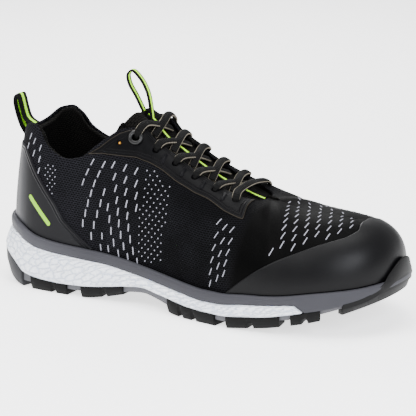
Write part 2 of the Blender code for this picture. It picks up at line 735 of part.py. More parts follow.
def crest_at(crest, up, x):
    order = np.argsort(crest[:, 0])
    place = np.array([np.interp(x, crest[order, 0], crest[order, k]) for k in range(3)])
    normal = np.array([np.interp(x, crest[order, 0], up[order, k]) for k in range(3)])
    return place, normal / np.linalg.norm(normal)


def lace_tape(start, end, extra, rise, crest, crest_up):
    # From its eyelet over the facing's edge, across the tongue, down to the other facing's edge
    place, normal, share, row = start
    far_place, _far_normal, far_share, _far_row = end
    side = math.copysign(1.0, place[1])
    stand = LACE_LIFT + OVERLAY + LACE_THICK / 2 + extra
    over_share = share + (far_share - share) * LACE_OVER
    first = place + normal * stand
    half, half_up = surface_point((share + over_share) / 2, side, (row + 1) / 2, stand)
    over, over_up = surface_point(over_share, side, 1.0, stand)
    middle_x = (place[0] + far_place[0]) / 2
    middle, middle_up = crest_at(crest, crest_up, middle_x)
    middle = middle + middle_up * (3 * GAP + STRIP_THICK + LACE_THICK / 2 + rise)
    under, _under_up = surface_point(share + (far_share - share) * LACE_UNDER, -side, 1.0, 0.0)
    under = under - middle_up * (UPPER_WALL - LACE_THICK / 2 - GAP)
    under[1] *= LACE_STOP
    path = smooth_path([first, half, over, middle, under], 9)
    ups = smooth_path([normal, half_up, over_up, middle_up, middle_up], 9)
    return tape_sections(path, ups, LACE_WIDTH, LACE_THICK)


def make_laces(near, far, crest, crest_up, finish):
    for k in range(EYELETS - 1):
        extra = RING_HEIGHT + 3 * GAP if k == 0 else 0.0
        name = "lace_crossing_" + str(k + 1)
        above = lace_tape(far[k], near[k + 1], extra, LACE_THICK * LACE_RISE, crest, crest_up)
        below = lace_tape(near[k], far[k + 1], extra, 0.0, crest, crest_up)
        piece = lofted(name, above, finish)
        other = lofted(name + "_under", below, finish)
        other.hide_render = True
        other.display_type = "WIRE"
        cut(piece, other, "UNION")
    stand = LACE_LIFT + OVERLAY + LACE_THICK / 2
    points = []
    ups = []
    for eyelet, side in ((near[-1], -1.0), (far[-1], 1.0)):
        place, normal, share, row = eyelet
        half, half_up = surface_point(share, side, (row + 1) / 2, stand)
        over, over_up = surface_point(share, side, 1.0, stand)
        order = slice(None, None, -int(side))
        points += [place + normal * stand, half, over][order]
        ups += [normal, half_up, over_up][order]
    up = (ups[2] + ups[3]) / 2
    points.insert(3, (points[2] + points[3]) / 2 + up * LACE_THICK)
    ups.insert(3, up)
    path = smooth_path(points, 11)
    ups = smooth_path(ups, 11)
    lofted("lace_bar", tape_sections(path, ups, LACE_WIDTH, LACE_THICK), finish)


def make_strip(crest, up, finish):
    # Webbing down the middle of the tongue, from in front of the loop's foot
    end = (STRIP_END - ORIGIN_SHARE) * SOLE_LENGTH
    keep = [i for i in range(len(TONGUE_TOP) + 1, len(crest)) if crest[i, 0] < end]
    path = crest[keep] + up[keep] * (GAP + STRIP_THICK / 2)
    lofted("tongue_strip", tape_sections(path, up[keep], STRIP_WIDTH, STRIP_THICK), finish)


def loop_tape(name, points, width, finish):
    # A standing loop of webbing through points in the shoe's middle plane
    path = smooth_path(points, 15)
    tangent = np.gradient(path, axis=0)
    tangent /= np.linalg.norm(tangent, axis=1)[:, None]
    half = np.array([0.0, width / 2, 0.0])
    sections = []
    for place, way in zip(path, tangent):
        out = np.array([-way[2], 0.0, way[0]]) * LOOP_THICK / 2
        sections.append(np.array([place - half - out, place + half - out, place + half + out, place - half + out]))
    lofted(name, sections, finish)


def tongue_pull_loop(crest, crest_up, finish):
    # It stands on the tongue just under its top edge, both ends seated on the tongue's face
    base = crest[1]
    points = [(base[0] + LOOP_BREADTH * a, 0.0, base[2] + TONGUE_LOOP_HEIGHT * b) for a, b in zip(*TONGUE_LOOP)]
    for end in (0, -1):
        seat, up = crest_at(crest, crest_up, points[end][0])
        points[end] = seat + up * (2 * GAP + LOOP_THICK / 2)
    loop_tape("tongue_pull_loop", points, TONGUE_LOOP_WIDTH, finish)


def heel_pull_loop(loop, finish):
    # It rises from the heel over the counter's edge and comes down on the collar's rim
    profile = upper_rows(loop, np.linspace(0, 1, 41))[:, 0]
    rim = profile[-1]
    seat = COLLAR_HEIGHT * COUNTER_EDGE["height"][0] + 2 * GAP
    back = np.interp(seat, profile[:, 2], profile[:, 0]) - LOOP_THICK / 2 - 3 * GAP
    points = [(back, 0.0, seat)]
    points += [(rim[0] + LOOP_BREADTH * a, 0.0, rim[2] + HEEL_LOOP_HEIGHT * b) for a, b in zip(*HEEL_LOOP)]
    loop_tape("heel_pull_loop", points, HEEL_LOOP_WIDTH, finish)


# Sole

def make_frame(loop, finish):
    share = loop.share
    band = level("band", share)
    face = -flare(share)
    rings = [
        loop.ring(face, tray_under(share)),
        loop.ring(face, band - RAND_EDGE),
        loop.ring(face - RAND_EDGE, band),
        loop.ring(face - TRAY_WALL, band),
        loop.ring(face - TRAY_WALL, footbed(share)),
    ]
    layered("midsole_frame", rings, finish)


def make_foam(shares, finish):
    kept = shares[shares <= FOAM_SLANT[1] + MERGE]
    loop = Loop(np.concatenate([kept, kept[:0:-1]]), np.concatenate([-np.ones(len(kept)), np.ones(len(kept) - 1)]))
    ends = Loop(kept, -np.ones(len(kept)), closed=False)
    other = Loop(kept[::-1], np.ones(len(kept)), closed=False)
    loop.normal = np.concatenate([ends.normal, other.normal[:-1]])
    loop.normal[0] = (-1.0, 0.0)
    share = loop.share
    low = level("foam_low", share)
    deep = tray_under(share) - GAP - low
    rings = [loop.ring(FOAM_BULGE * bulge - flare(share) * lean, low + deep * up) for up, bulge, lean in FOAM_FACE]
    layered("midsole_foam", rings, finish)


def make_plate(loop, finish):
    under_foam = level("foam_low", loop.place(FOAM_BULGE - PLATE_INSET))
    rings = [
        loop.ring(-PLATE_INSET, level("plate", loop.share)),
        loop.ring(-PLATE_INSET, under_foam - GAP),
    ]
    layered("outsole_base", rings, finish)


def make_insole(loop, finish):
    inset = GAP + UPPER_WALL + GAP
    offset = -TRAY_WALL - inset - flare(loop.share)
    floor = footbed(loop.place(-inset)) + GAP
    rings = [loop.ring(offset, floor), loop.ring(offset, floor + INSOLE)]
    layered("insole", rings, finish)


def wrapping_block(name, loop, notched, columns, finish):
    # A tread block that wraps the plate's edge; its lower edge is cut back where notched is 1
    tread = level("tread", loop.share)
    plate = level("plate", loop.share) - GAP
    top = level("foam_low", loop.share) - GAP
    inner = -PLATE_INSET + GAP
    inner_top = level("foam_low", loop.place(FOAM_BULGE + inner)) - GAP
    reached = loop.place(-BLOCK_REACH)
    profile = [
        loop.ring(-BLOCK_INSET, top),
        loop.ring(-BLOCK_WAIST - NOTCH_WAIST * notched, (tread + top) / 2),
        loop.ring(-BLOCK_TAPER - NOTCH_FOOT * notched, tread + NOTCH_DEPTH * notched),
        loop.ring(-BLOCK_REACH, level("tread", reached)),
        loop.ring(-BLOCK_REACH, level("plate", reached) - GAP),
        loop.ring(inner, plate),
        loop.ring(inner, inner_top),
    ]
    lofted(name, [np.array([row[i] for row in profile]) for i in columns], finish)


def side_block(name, stations, side, start, end, notches, finish):
    # It shares the plate's stations, so that it follows the plate's faces
    shares = [start, end]
    for notch in notches:
        shares += [notch - NOTCH_SHARE, notch, notch + NOTCH_SHARE]
    shares += [station for station in stations
               if start < station < end and min(abs(station - share) for share in shares) > NOTCH_SHARE / 2]
    shares = np.unique(shares)
    loop = Loop(shares, np.full(len(shares), side), closed=False)
    notched = np.array([1.0 if min(abs(share - notch) for notch in notches) < 1e-6 else 0.0 for share in shares])
    wrapping_block(name, loop, notched, range(len(shares)), finish)


def toe_block(loop, columns, finish):
    # The block under the toe and the bumper that stands up in front of the tray and the cap
    tread = level("tread", loop.share)
    plate = level("plate", loop.share) - GAP
    low = level("foam_low", loop.share) - GAP
    way = np.clip((loop.share - TOE_BLOCK_START) / (1 - TOE_BLOCK_START), 0, 1)
    top = low + BUMPER_START + (BUMPER_HEIGHT - BUMPER_START) * way ** BUMPER_SWEEP
    band = level("band", loop.share)
    knee = np.minimum(top - BUMPER_START / 2, band + GAP)
    lean = np.clip((top - band) / BUMPER_LEAN_RISE, 0, 1) * BUMPER_LEAN
    proud = BUMPER_PROUD * np.clip(way * 3, 0.2, 1)
    inner = -PLATE_INSET + GAP
    reached = loop.place(-BLOCK_REACH)
    profile = [
        loop.ring(proud - BUMPER_LIP - lean / 2, top),
        loop.ring(proud, tread * 0.4 + top * 0.6),
        loop.ring(-BLOCK_TAPER, tread),
        loop.ring(-BLOCK_REACH, level("tread", reached)),
        loop.ring(-BLOCK_REACH, level("plate", reached) - GAP),
        loop.ring(inner, plate),
        loop.ring(inner, level("foam_low", loop.place(inner)) - GAP),
        loop.ring(GAP, low),
        loop.ring(GAP, knee),
        loop.ring(GAP - lean, top),
    ]
    lofted("toe_block", [np.array([row[i] for row in profile]) for i in columns], finish)


def tread_bar(name, share, finish):
    # A bar across the sole between the side blocks, its middle pointing forwards
    reach = BLOCK_REACH + BLOCK_TAPER + BAR_GROOVE
    rows = []
    for s in share + np.array([-0.5, 0.0, 0.5]) * BAR_LENGTH / SOLE_LENGTH:
        near = outline_y(s, -1.0) + reach
        far = outline_y(s, 1.0) - reach
        row = []
        for y, shift in ((near, 0.0), ((near + far) / 2, BAR_POINT), (far, 0.0)):
            row.append(((s - ORIGIN_SHARE) * SOLE_LENGTH + shift, float(y), 0.0))
        rows.append(row)
    under = np.array(rows)
    over = under.copy()
    place = under[:, :, 0] / SOLE_LENGTH + ORIGIN_SHARE
    under[:, :, 2] = level("tread", place)
    over[:, :, 2] = level("plate", place) - GAP
    thickened(name, over, under, finish)


def make_tread(stations, loop, finish):
    count = len(loop.share)
    half = count // 2
    heel = [i for i in range(half) if loop.share[i] < HEEL_BLOCK_END]
    columns = [count - i for i in reversed(heel[1:])] + heel
    wrapping_block("heel_block_rear", loop, np.zeros(count), columns, finish)
    toe_block(loop, [i for i in range(count) if loop.share[i] > TOE_BLOCK_START], finish)
    for word, side in (("lateral", -1.0), ("medial", 1.0)):
        for place, blocks in (("heel", HEEL_BLOCKS), ("ball", BALL_BLOCKS)):
            for number, (start, end, notches) in enumerate(blocks, 1):
                name = "_".join((place, "block", word, str(number)))
                side_block(name, stations, side, start, end, notches, finish)
    for place, bars in (("heel", HEEL_BARS), ("ball", BALL_BARS)):
        for number, share in enumerate(bars, 1):
            tread_bar("_".join((place, "bar", str(number))), share, finish)


def main():
    for item in list(bpy.data.objects):
        bpy.data.objects.remove(item)
    shares = station_shares()
    loop = whole_loop(shares)

    knit = material("knit", (0.012, 0.012, 0.014), 0.85)
    film = material("film", (0.022, 0.022, 0.026), 0.40)
    lining = material("lining", (0.010, 0.010, 0.011), 0.90)
    cord = material("lace_cord", (0.014, 0.013, 0.011), 0.75)
    lime = material("lime_webbing", (0.45, 0.85, 0.06), 0.70)
    gloss = material("black_gloss", (0.010, 0.010, 0.010), 0.25)
    grey = material("grey_rubber", (0.17, 0.17, 0.18), 0.60)
    white = material("white_foam", (0.78, 0.82, 0.86), 0.55)
    black = material("black_rubber", (0.012, 0.012, 0.013), 0.60)

    upper = make_upper(loop, knit)
    heel_counter(loop, film)
    toe_cap(loop, film)
    near = eyelet_row(-1.0)
    far = eyelet_row(1.0)
    for word, side, row in (("lateral", -1.0, near), ("medial", 1.0, far)):
        stay = eyestay("eyestay_" + word, loop, side, film)
        bores = eyelet_bores("eyelet_bores_" + word, row)
        cut(stay, bores, "DIFFERENCE")
        cut(upper, bores, "DIFFERENCE")
        eyelet_ring("eyelet_ring_" + word, row[0], gloss)
    crest, crest_up = make_tongue(lining)
    make_strip(crest, crest_up, lime)
    make_laces(near, far, crest, crest_up, cord)
    tongue_pull_loop(crest, crest_up, lime)
    heel_pull_loop(loop, lime)

    make_insole(loop, lining)
    make_frame(loop, grey)
    make_foam(shares, white)
    make_plate(loop, grey)
    make_tread(shares, loop, black)


main()
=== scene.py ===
import math

import bmesh
import bpy
import numpy as np
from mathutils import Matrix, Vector
from mathutils.bvhtree import BVHTree
from mathutils.kdtree import KDTree


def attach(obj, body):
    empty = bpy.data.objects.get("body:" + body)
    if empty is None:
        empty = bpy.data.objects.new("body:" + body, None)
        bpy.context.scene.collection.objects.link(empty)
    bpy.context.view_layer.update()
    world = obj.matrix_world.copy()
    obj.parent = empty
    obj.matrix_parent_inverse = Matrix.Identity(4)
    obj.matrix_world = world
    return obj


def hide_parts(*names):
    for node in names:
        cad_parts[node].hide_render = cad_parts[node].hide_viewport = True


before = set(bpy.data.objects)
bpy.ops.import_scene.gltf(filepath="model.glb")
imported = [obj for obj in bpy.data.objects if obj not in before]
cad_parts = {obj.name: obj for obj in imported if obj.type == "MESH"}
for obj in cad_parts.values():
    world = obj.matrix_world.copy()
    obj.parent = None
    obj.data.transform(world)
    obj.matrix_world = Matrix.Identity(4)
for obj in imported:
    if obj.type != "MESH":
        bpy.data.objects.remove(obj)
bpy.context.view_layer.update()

# Safety sneaker, right shoe, standing empty. +X is the toe, -Y the outer side of the foot.
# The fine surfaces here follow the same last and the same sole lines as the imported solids.

bpy.ops.object.select_all(action="DESELECT")

# The last and the sole, in metres and in shares of the sizes beside them

last = {
    "length": 0.296, "ballBreadth": 0.110, "heelBreadth": 0.080, "soleHeight": 0.046,
    "toeSpring": 0.024, "collarHeight": 0.119, "toeHeight": 0.072, "origin": 0.17,
    "trayWall": 0.0032, "trayFloor": 0.0030, "heelFlare": 0.0048, "gap": 0.0003,
    "wall": 0.0022, "pad": 0.0070, "throatEnd": 0.765,
}
outlineTable = {   # half breadths of the sole, of the local breadth
    "share":   (0.00, 0.08, 0.17, 0.28, 0.40, 0.50, 0.60, 0.68, 0.76, 0.84, 0.92, 1.00),
    "lateral": (0.440, 0.470, 0.506, 0.519, 0.492, 0.470, 0.478, 0.500, 0.495, 0.482, 0.491, 0.500),
    "medial":  (0.450, 0.462, 0.481, 0.462, 0.388, 0.369, 0.427, 0.482, 0.509, 0.518, 0.491, 0.455),
    "mid":     (0.000, 0.000, 0.000, 0.000, 0.000, 0.000, 0.000, 0.000, 0.005, 0.018, 0.045, 0.073),
}
sideTable = {      # levels on the side of the sole, of the sole's height
    "share":    (0.00, 0.04, 0.07, 0.10, 0.14, 0.20, 0.27, 0.33, 0.385, 0.43, 0.47, 0.51,
                 0.55, 0.60, 0.64, 0.70, 0.75, 0.80, 0.846, 0.90, 0.95, 1.00),
    "spring":   (0.00, 0.00, 0.00, 0.00, 0.00, 0.00, 0.00, 0.00, 0.00, 0.00, 0.00, 0.00,
                 0.00, 0.00, 0.00, 0.08, 0.16, 0.28, 0.40, 0.58, 0.79, 1.00),
    "flare":    (1.00, 1.00, 0.80, 0.55, 0.30, 0.12, 0.04, 0.00, 0.00, 0.00, 0.00, 0.00,
                 0.00, 0.00, 0.00, 0.00, 0.00, 0.00, 0.00, 0.00, 0.00, 0.00),
    "tread":    (0.26, 0.110, 0.030, 0.000, 0.000, 0.000, 0.010, 0.075, 0.165, 0.200, 0.130, 0.022,
                 0.000, 0.000, 0.000, 0.000, 0.000, 0.000, 0.000, 0.000, 0.000, 0.000),
    "plate":    (0.330, 0.200, 0.125, 0.093, 0.093, 0.093, 0.098, 0.140, 0.202, 0.235, 0.182, 0.110,
                 0.093, 0.093, 0.093, 0.093, 0.093, 0.093, 0.093, 0.093, 0.093, 0.093),
    "foamLow":  (0.520, 0.465, 0.378, 0.250, 0.195, 0.176, 0.191, 0.237, 0.296, 0.328, 0.285, 0.243,
                 0.204, 0.185, 0.183, 0.178, 0.172, 0.170, 0.172, 0.152, 0.135, 0.130),
    "foamTop":  (0.826, 0.811, 0.791, 0.730, 0.661, 0.628, 0.607, 0.585, 0.539, 0.500, 0.457, 0.417,
                 0.383, 0.346, 0.354, 0.361, 0.348, 0.322, 0.274, 0.222, 0.144, 0.083),
    "band":     (1.000, 0.983, 0.957, 0.904, 0.830, 0.785, 0.765, 0.739, 0.696, 0.654, 0.611, 0.572,
                 0.537, 0.507, 0.509, 0.500, 0.476, 0.448, 0.433, 0.383, 0.304, 0.239),
}
topTable = {       # top line of the upper and the bend of its sides
    "share":  (0.00, 0.02, 0.05, 0.10, 0.14, 0.17, 0.21, 0.25, 0.29, 0.325, 0.355, 0.385, 0.41, 0.45,
               0.50, 0.56, 0.62, 0.67, 0.71, 0.74, 0.765, 0.80, 0.84, 0.88, 0.92, 0.96, 1.00),
    "along":  (0.067, 0.073, 0.087, 0.116, 0.142, 0.164, 0.209, 0.247, 0.287, 0.323, 0.351, 0.377,
               0.392, 0.422, 0.466, 0.520, 0.574, 0.622, 0.652, 0.672, 0.682, 0.706, 0.740, 0.777,
               0.814, 0.851, 0.885),
    "half":   (0.000, 0.110, 0.185, 0.240, 0.265, 0.278, 0.292, 0.292, 0.280, 0.262, 0.234, 0.190,
               0.159, 0.146, 0.144, 0.144, 0.148, 0.150, 0.130, 0.080, 0.000, 0.000, 0.000, 0.000,
               0.000, 0.000, 0.000),
    "mid":    (0.000, 0.000, 0.000, 0.000, 0.000, 0.000, 0.000, 0.000, 0.000, 0.000, 0.000, 0.000,
               0.000, 0.000, 0.000, 0.000, 0.000, 0.000, 0.000, 0.000, 0.000, 0.003, 0.009, 0.016,
               0.024, 0.033, 0.043),
    "height": (0.918, 0.930, 0.953, 0.966, 0.920, 0.848, 0.800, 0.820, 0.893, 0.956, 0.995, 1.002,
               0.988, 0.930, 0.895, 0.868, 0.869, 0.892, 0.922, 0.960, 0.990, 1.015, 1.008, 0.994,
               0.982, 0.970, 0.952),
    "bend":   (1.38, 1.38, 1.38, 1.40, 1.42, 1.46, 1.54, 1.62, 1.72, 1.80, 1.88, 1.95, 2.00, 2.00,
               2.00, 2.02, 2.05, 2.06, 2.08, 2.08, 2.08, 2.10, 2.15, 2.22, 2.32, 2.42, 2.50),
}
heelRounding = (0.125, 2.15)
toeRounding = (0.225, 2.20)
breadthBlend = (0.30, 0.64)
heightBlend = (0.41, 0.86)
foamSlant = (0.824, 0.838, 0.846)


def hermite(xs, ys, at, tangents):
    # cubic pieces through the points with the given slopes
    at = np.clip(np.asarray(at, dtype=float), xs[0], xs[-1])
    row = np.clip(np.searchsorted(xs, at, side="right") - 1, 0, len(xs) - 2)
    step = xs[row + 1] - xs[row]
    part = (at - xs[row]) / step
    if ys.ndim > 1:
        step = step.reshape((-1,) + (1,) * (ys.ndim - 1))
        part = part.reshape(step.shape)
    rise = ys[row + 1] - ys[row]
    start = tangents[row] * step
    end = tangents[row + 1] * step
    return ys[row] + part * (start + part * ((start + end - 2 * rise) * part + 3 * rise - 2 * start - end))


def curveThrough(xs, ys, at):
    # smooth curve without overshoot between the points
    xs = np.asarray(xs, dtype=float)
    ys = np.asarray(ys, dtype=float)
    steps = np.diff(xs)
    slopes = np.diff(ys) / steps
    tangents = np.zeros(len(ys))
    tangents[0] = slopes[0]
    tangents[-1] = slopes[-1]
    for row in range(1, len(ys) - 1):
        before, after = slopes[row - 1], slopes[row]
        if before * after > 0:
            first = 2 * steps[row] + steps[row - 1]
            second = steps[row] + 2 * steps[row - 1]
            tangents[row] = (first + second) / (first / before + second / after)
    return hermite(xs, ys, at, tangents)


def column(table, name, share):
    return curveThrough(table["share"], table[name], share)


def ease(value, low, high):
    part = np.clip((value - low) / (high - low), 0, 1)
    return part * part * (3 - 2 * part)


def mix(share, rear, front, limits):
    return rear + (front - rear) * ease(share, *limits)


def around(p):
    # p runs round the sole: -1 toe, inner side, 0 heel, outer side, 1 toe
    turn = np.mod(np.asarray(p, dtype=float) + 1, 2) - 1
    side = np.where(turn >= 0, -1.0, 1.0)
    return (1 - np.cos(math.pi * np.abs(turn))) / 2, side


def placeOf(share):
    return math.acos(1 - 2 * share) / math.pi


def outline(p):
    share, side = around(p)
    reach, power = heelRounding
    heel = (1 - (1 - np.clip(share / reach, 0, 1)) ** power) ** (1 / power)
    reach, power = toeRounding
    toe = (1 - (1 - np.clip((1 - share) / reach, 0, 1)) ** power) ** (1 / power)
    breadth = mix(share, last["heelBreadth"], last["ballBreadth"], breadthBlend)
    half = np.where(side < 0, column(outlineTable, "lateral", share), column(outlineTable, "medial", share))
    y = column(outlineTable, "mid", share) * last["ballBreadth"] + side * half * breadth * heel * toe
    return np.stack([(share - last["origin"]) * last["length"], y], axis=-1)


def ring(p, offset, height):
    # the sole's outline moved outwards by offset, at the given height
    p = np.asarray(p, dtype=float)
    tangent = outline(p + 0.004) - outline(p - 0.004)
    tangent /= np.linalg.norm(tangent, axis=-1)[..., None]
    xy = outline(p)
    x = xy[..., 0] + tangent[..., 1] * offset
    y = xy[..., 1] - tangent[..., 0] * offset
    return np.stack(np.broadcast_arrays(x, y, height), axis=-1)


def level(name, share):
    spring = last["toeSpring"] * column(sideTable, "spring", share)
    return spring + last["soleHeight"] * column(sideTable, name, share)


def trayUnder(share):
    slant = np.clip((share - foamSlant[0]) / (foamSlant[2] - foamSlant[0]), 0, 1)
    return level("foamTop", share) * (1 - slant) + level("foamLow", share) * slant


def flare(share):
    return last["heelFlare"] * column(sideTable, "flare", share)


def topLine(p):
    share, side = around(p)
    height = mix(share, last["collarHeight"], last["toeHeight"], heightBlend)
    height = height * column(topTable, "height", share)
    # the padding on the inner side of the ankle stands a little higher
    height = height + (side > 0) * 0.0034 * ease(share, 0.004, 0.06) * (1 - ease(share, 0.16, 0.28))
    x = (column(topTable, "along", share) - last["origin"]) * last["length"]
    y = last["ballBreadth"] * (column(topTable, "mid", share) + side * column(topTable, "half", share))
    return np.stack([x, y, height], axis=-1)


def upperPoint(p, row):
    # outer face of the upper; row 0 is the top of the rand, 1 the top line, below 0 inside the tray
    p, row = np.broadcast_arrays(np.asarray(p, dtype=float), np.asarray(row, dtype=float))
    share, _side = around(p)
    foot = ring(p, -(last["trayWall"] + last["gap"]) - flare(share), 0.0)
    rand = level("band", share) + last["gap"]
    floor = level("foamTop", share) + last["trayFloor"] + last["gap"]
    top = topLine(p)
    bend = 2 / column(topTable, "bend", share)
    turn = np.clip(row, 0, 1) * math.pi / 2
    inward = 1 - np.clip(np.cos(turn), 0, 1) ** bend
    climb = np.sin(turn) ** bend
    point = foot + (top - foot) * inward[..., None]
    height = rand + (top[..., 2] - rand) * climb
    point[..., 2] = np.where(row < 0, rand + (floor - rand) * -row, height)
    return point


def upperNormal(p, row):
    p, row = np.broadcast_arrays(np.asarray(p, dtype=float), np.asarray(row, dtype=float))

    def slope(q):
        along = upperPoint(q + 0.002, row) - upperPoint(q - 0.002, row)
        across = upperPoint(q, np.minimum(row + 0.004, 1)) - upperPoint(q, np.minimum(row + 0.004, 1) - 0.008)
        return np.cross(along, across)

    normal = slope(p)
    share, _side = around(p)
    ridge = (share >= last["throatEnd"] - 1e-6) & (row > 0.999)
    if ridge.any():
        normal = np.where(ridge[..., None], normal + slope(-p), normal)
    return normal / np.linalg.norm(normal, axis=-1)[..., None]


# Making meshes

def meshFromSheets(name, sheets, materials, weld=2e-6, angle=40):
    # one closed piece from grids of points, welded where their borders meet
    # a sheet is (points, uv in millimetres, material index)
    points, faces, uvs, slots = [], [], [], []
    start = 0
    for grid, uv, slot in sheets:
        rows, cols = grid.shape[:2]
        index = np.arange(rows * cols).reshape(rows, cols) + start
        quads = np.stack([index[:-1, :-1], index[:-1, 1:], index[1:, 1:], index[1:, :-1]], axis=-1)
        quads = quads.reshape(-1, 4)
        points.append(grid.reshape(-1, 3))
        faces.append(quads)
        uvs.append(uv.reshape(-1, 2)[quads.reshape(-1) - start])
        slots.append(np.full(len(quads), slot))
        start += rows * cols
    points = np.concatenate(points)
    faces = np.concatenate(faces)
    mesh = bpy.data.meshes.new(name)
    mesh.vertices.add(len(points))
    mesh.vertices.foreach_set("co", points.astype(np.float32).ravel())
    mesh.loops.add(faces.size)
    mesh.loops.foreach_set("vertex_index", faces.astype(np.int32).ravel())
    mesh.polygons.add(len(faces))
    mesh.polygons.foreach_set("loop_start", np.arange(0, faces.size, 4, dtype=np.int32))
    mesh.polygons.foreach_set("material_index", np.concatenate(slots).astype(np.int32))
    layer = mesh.uv_layers.new(name="fabric")
    layer.data.foreach_set("uv", np.concatenate(uvs).astype(np.float32).ravel())
    mesh.update(calc_edges=True)
    mesh.validate()
    shape = bmesh.new()
    shape.from_mesh(mesh)
    bmesh.ops.remove_doubles(shape, verts=shape.verts, dist=weld)
    bmesh.ops.dissolve_degenerate(shape, edges=shape.edges, dist=weld)
    bmesh.ops.recalc_face_normals(shape, faces=shape.faces)
    shape.to_mesh(mesh)
    shape.free()
    for finish in materials:
        mesh.materials.append(finish)
    mesh.shade_smooth()
    mesh.set_sharp_from_angle(angle=math.radians(angle))
    piece = bpy.data.objects.new(name, mesh)
    bpy.context.scene.collection.objects.link(piece)
    return piece


def gridLengths(grid):
    # lengths in millimetres along and across a grid of points, for its uv
    along = np.linalg.norm(np.diff(grid, axis=1), axis=2) * 1000
    across = np.linalg.norm(np.diff(grid, axis=0), axis=2) * 1000
    rows, cols = grid.shape[:2]
    u = np.concatenate([np.zeros((rows, 1)), np.cumsum(along, axis=1)], axis=1)
    v = np.concatenate([np.zeros((1, cols)), np.cumsum(across, axis=0)], axis=0)
    return u, v


def smoothPath(points, count):
    # rounded run through the points, evenly spaced along its length
    points = np.asarray(points, dtype=float)
    chord = np.concatenate([[0], np.cumsum(np.linalg.norm(np.diff(points, axis=0), axis=1) ** 0.6)])
    tangents = np.gradient(points, chord, axis=0)
    fine = np.linspace(0, chord[-1], count * 8)
    dense = np.column_stack([hermite(chord, points[:, k], fine, tangents[:, k]) for k in range(3)])
    run = np.concatenate([[0], np.cumsum(np.linalg.norm(np.diff(dense, axis=0), axis=1))])
    at = np.linspace(0, run[-1], count)
    return np.column_stack([np.interp(at, run, dense[:, k]) for k in range(3)]), at / run[-1]


def spread(values, points, at):
    # values given at the points of a path, read along it
    points = np.asarray(points, dtype=float)
    chord = np.concatenate([[0], np.cumsum(np.linalg.norm(np.diff(points, axis=0), axis=1))])
    values = np.asarray(values, dtype=float)
    if values.ndim == 1:
        return np.interp(at, chord / chord[-1], values)
    return np.column_stack([np.interp(at, chord / chord[-1], values[:, k]) for k in range(values.shape[1])])


def tapePiece(name, points, ups, widths, thick, material, count=60, crown=0.25, relax=0):
    # woven tape along a path: a soft flat section, its uv is (along, across) in millimetres
    path, at = smoothPath(points, count)
    for _round in range(relax):
        path[1:-1] = (path[:-2] + 2 * path[1:-1] + path[2:]) / 4
    up = spread(ups, points, at)
    width = spread(widths, points, at)[:, None]
    tangent = np.gradient(path, axis=0)
    tangent /= np.linalg.norm(tangent, axis=1)[:, None]
    side = np.cross(tangent, up)
    side /= np.linalg.norm(side, axis=1)[:, None]
    face = np.cross(side, tangent)
    turns = np.linspace(0, 2 * math.pi, 21)
    across = np.sign(np.cos(turns)) * np.abs(np.cos(turns)) ** 0.5
    over = np.sign(np.sin(turns)) * np.abs(np.sin(turns)) ** 0.8
    bow = (1 - across ** 2) * crown * thick
    rows = []
    for a, o, b in zip(across, over, bow):
        rows.append(path + side * (width / 2 * a) + face * (thick / 2 * o + b))
    grid = np.array(rows)
    grid[-1] = grid[0]
    run = np.concatenate([[0], np.cumsum(np.linalg.norm(np.diff(path, axis=0), axis=1))]) * 1000
    uv = np.stack(np.broadcast_arrays(run[None, :], (across[:, None] * width.T * 500)), axis=-1)
    ends = []
    for end in (0, -1):
        centre = grid[:-1, end].mean(axis=0)
        cap = np.stack([grid[:, end], np.broadcast_to(centre, grid[:, end].shape)], axis=1)
        ends.append((cap, np.stack([uv[:, end], uv[:, end]], axis=1), 0))
    return meshFromSheets(name, [(grid, uv, 0)] + ends, [material])


def ridePiece(piece, slot, *nodes):
    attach(piece, "root")
    if nodes:
        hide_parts(*nodes)
    return piece


# Materials

def hexColour(text):
    # sRGB hex to the linear colour that the shader takes
    parts = [int(text[i:i + 2], 16) / 255 for i in (1, 3, 5)]
    return tuple(c / 12.92 if c <= 0.04045 else ((c + 0.055) / 1.055) ** 2.4 for c in parts) + (1.0,)


def addNode(tree, kind, settings=None, links=None):
    # a node with its own values and its input links; numbers and input names set sockets
    node = tree.nodes.new(kind)
    for key, value in (settings or {}).items():
        if isinstance(key, int) or key in node.inputs.keys():
            node.inputs[key].default_value = value
        else:
            setattr(node, key, value)
    for key, socket in (links or {}).items():
        tree.links.new(socket, node.inputs[key])
    return node


def newMaterial(name, settings):
    material = bpy.data.materials.new(name)
    material.use_nodes = True
    tree = material.node_tree
    shader = tree.nodes["Principled BSDF"]
    for key, value in settings.items():
        shader.inputs[key].default_value = value
    material.diffuse_color = settings.get("Base Color", (0.5, 0.5, 0.5, 1))
    return material, tree, shader


def ramp(tree, factor, stops):
    node = addNode(tree, "ShaderNodeValToRGB", None, {0: factor})
    elements = node.color_ramp.elements
    while len(elements) < len(stops):
        elements.new(0.5)
    for element, (at, colour) in zip(elements, stops):
        element.position = at
        element.color = hexColour(colour)
    return node.outputs[0]


def bumpInto(tree, shader, height, distance, strength=1.0, before=None):
    links = {"Height": height}
    if before is not None:
        links["Normal"] = before.outputs[0]
    bump = addNode(tree, "ShaderNodeBump", {"Distance": distance, "Strength": strength}, links)
    tree.links.new(bump.outputs[0], shader.inputs["Normal"])
    return bump


def uvMillimetres(tree, scale):
    # the piece's own uv, in millimetres, scaled to a pattern's repeat
    uv = addNode(tree, "ShaderNodeUVMap", {"uv_map": "fabric"})
    return addNode(tree, "ShaderNodeMapping", {"Scale": (1 / scale[0], 1 / scale[1], 1.0)},
                   {"Vector": uv.outputs[0]}).outputs[0]


def objectScaled(tree, millimetres):
    # object coordinates, one unit of the pattern every so many millimetres
    spot = addNode(tree, "ShaderNodeTexCoord")
    size = 1000 / millimetres
    return addNode(tree, "ShaderNodeMapping", {"Scale": (size, size, size)},
                   {"Vector": spot.outputs["Object"]}).outputs[0]


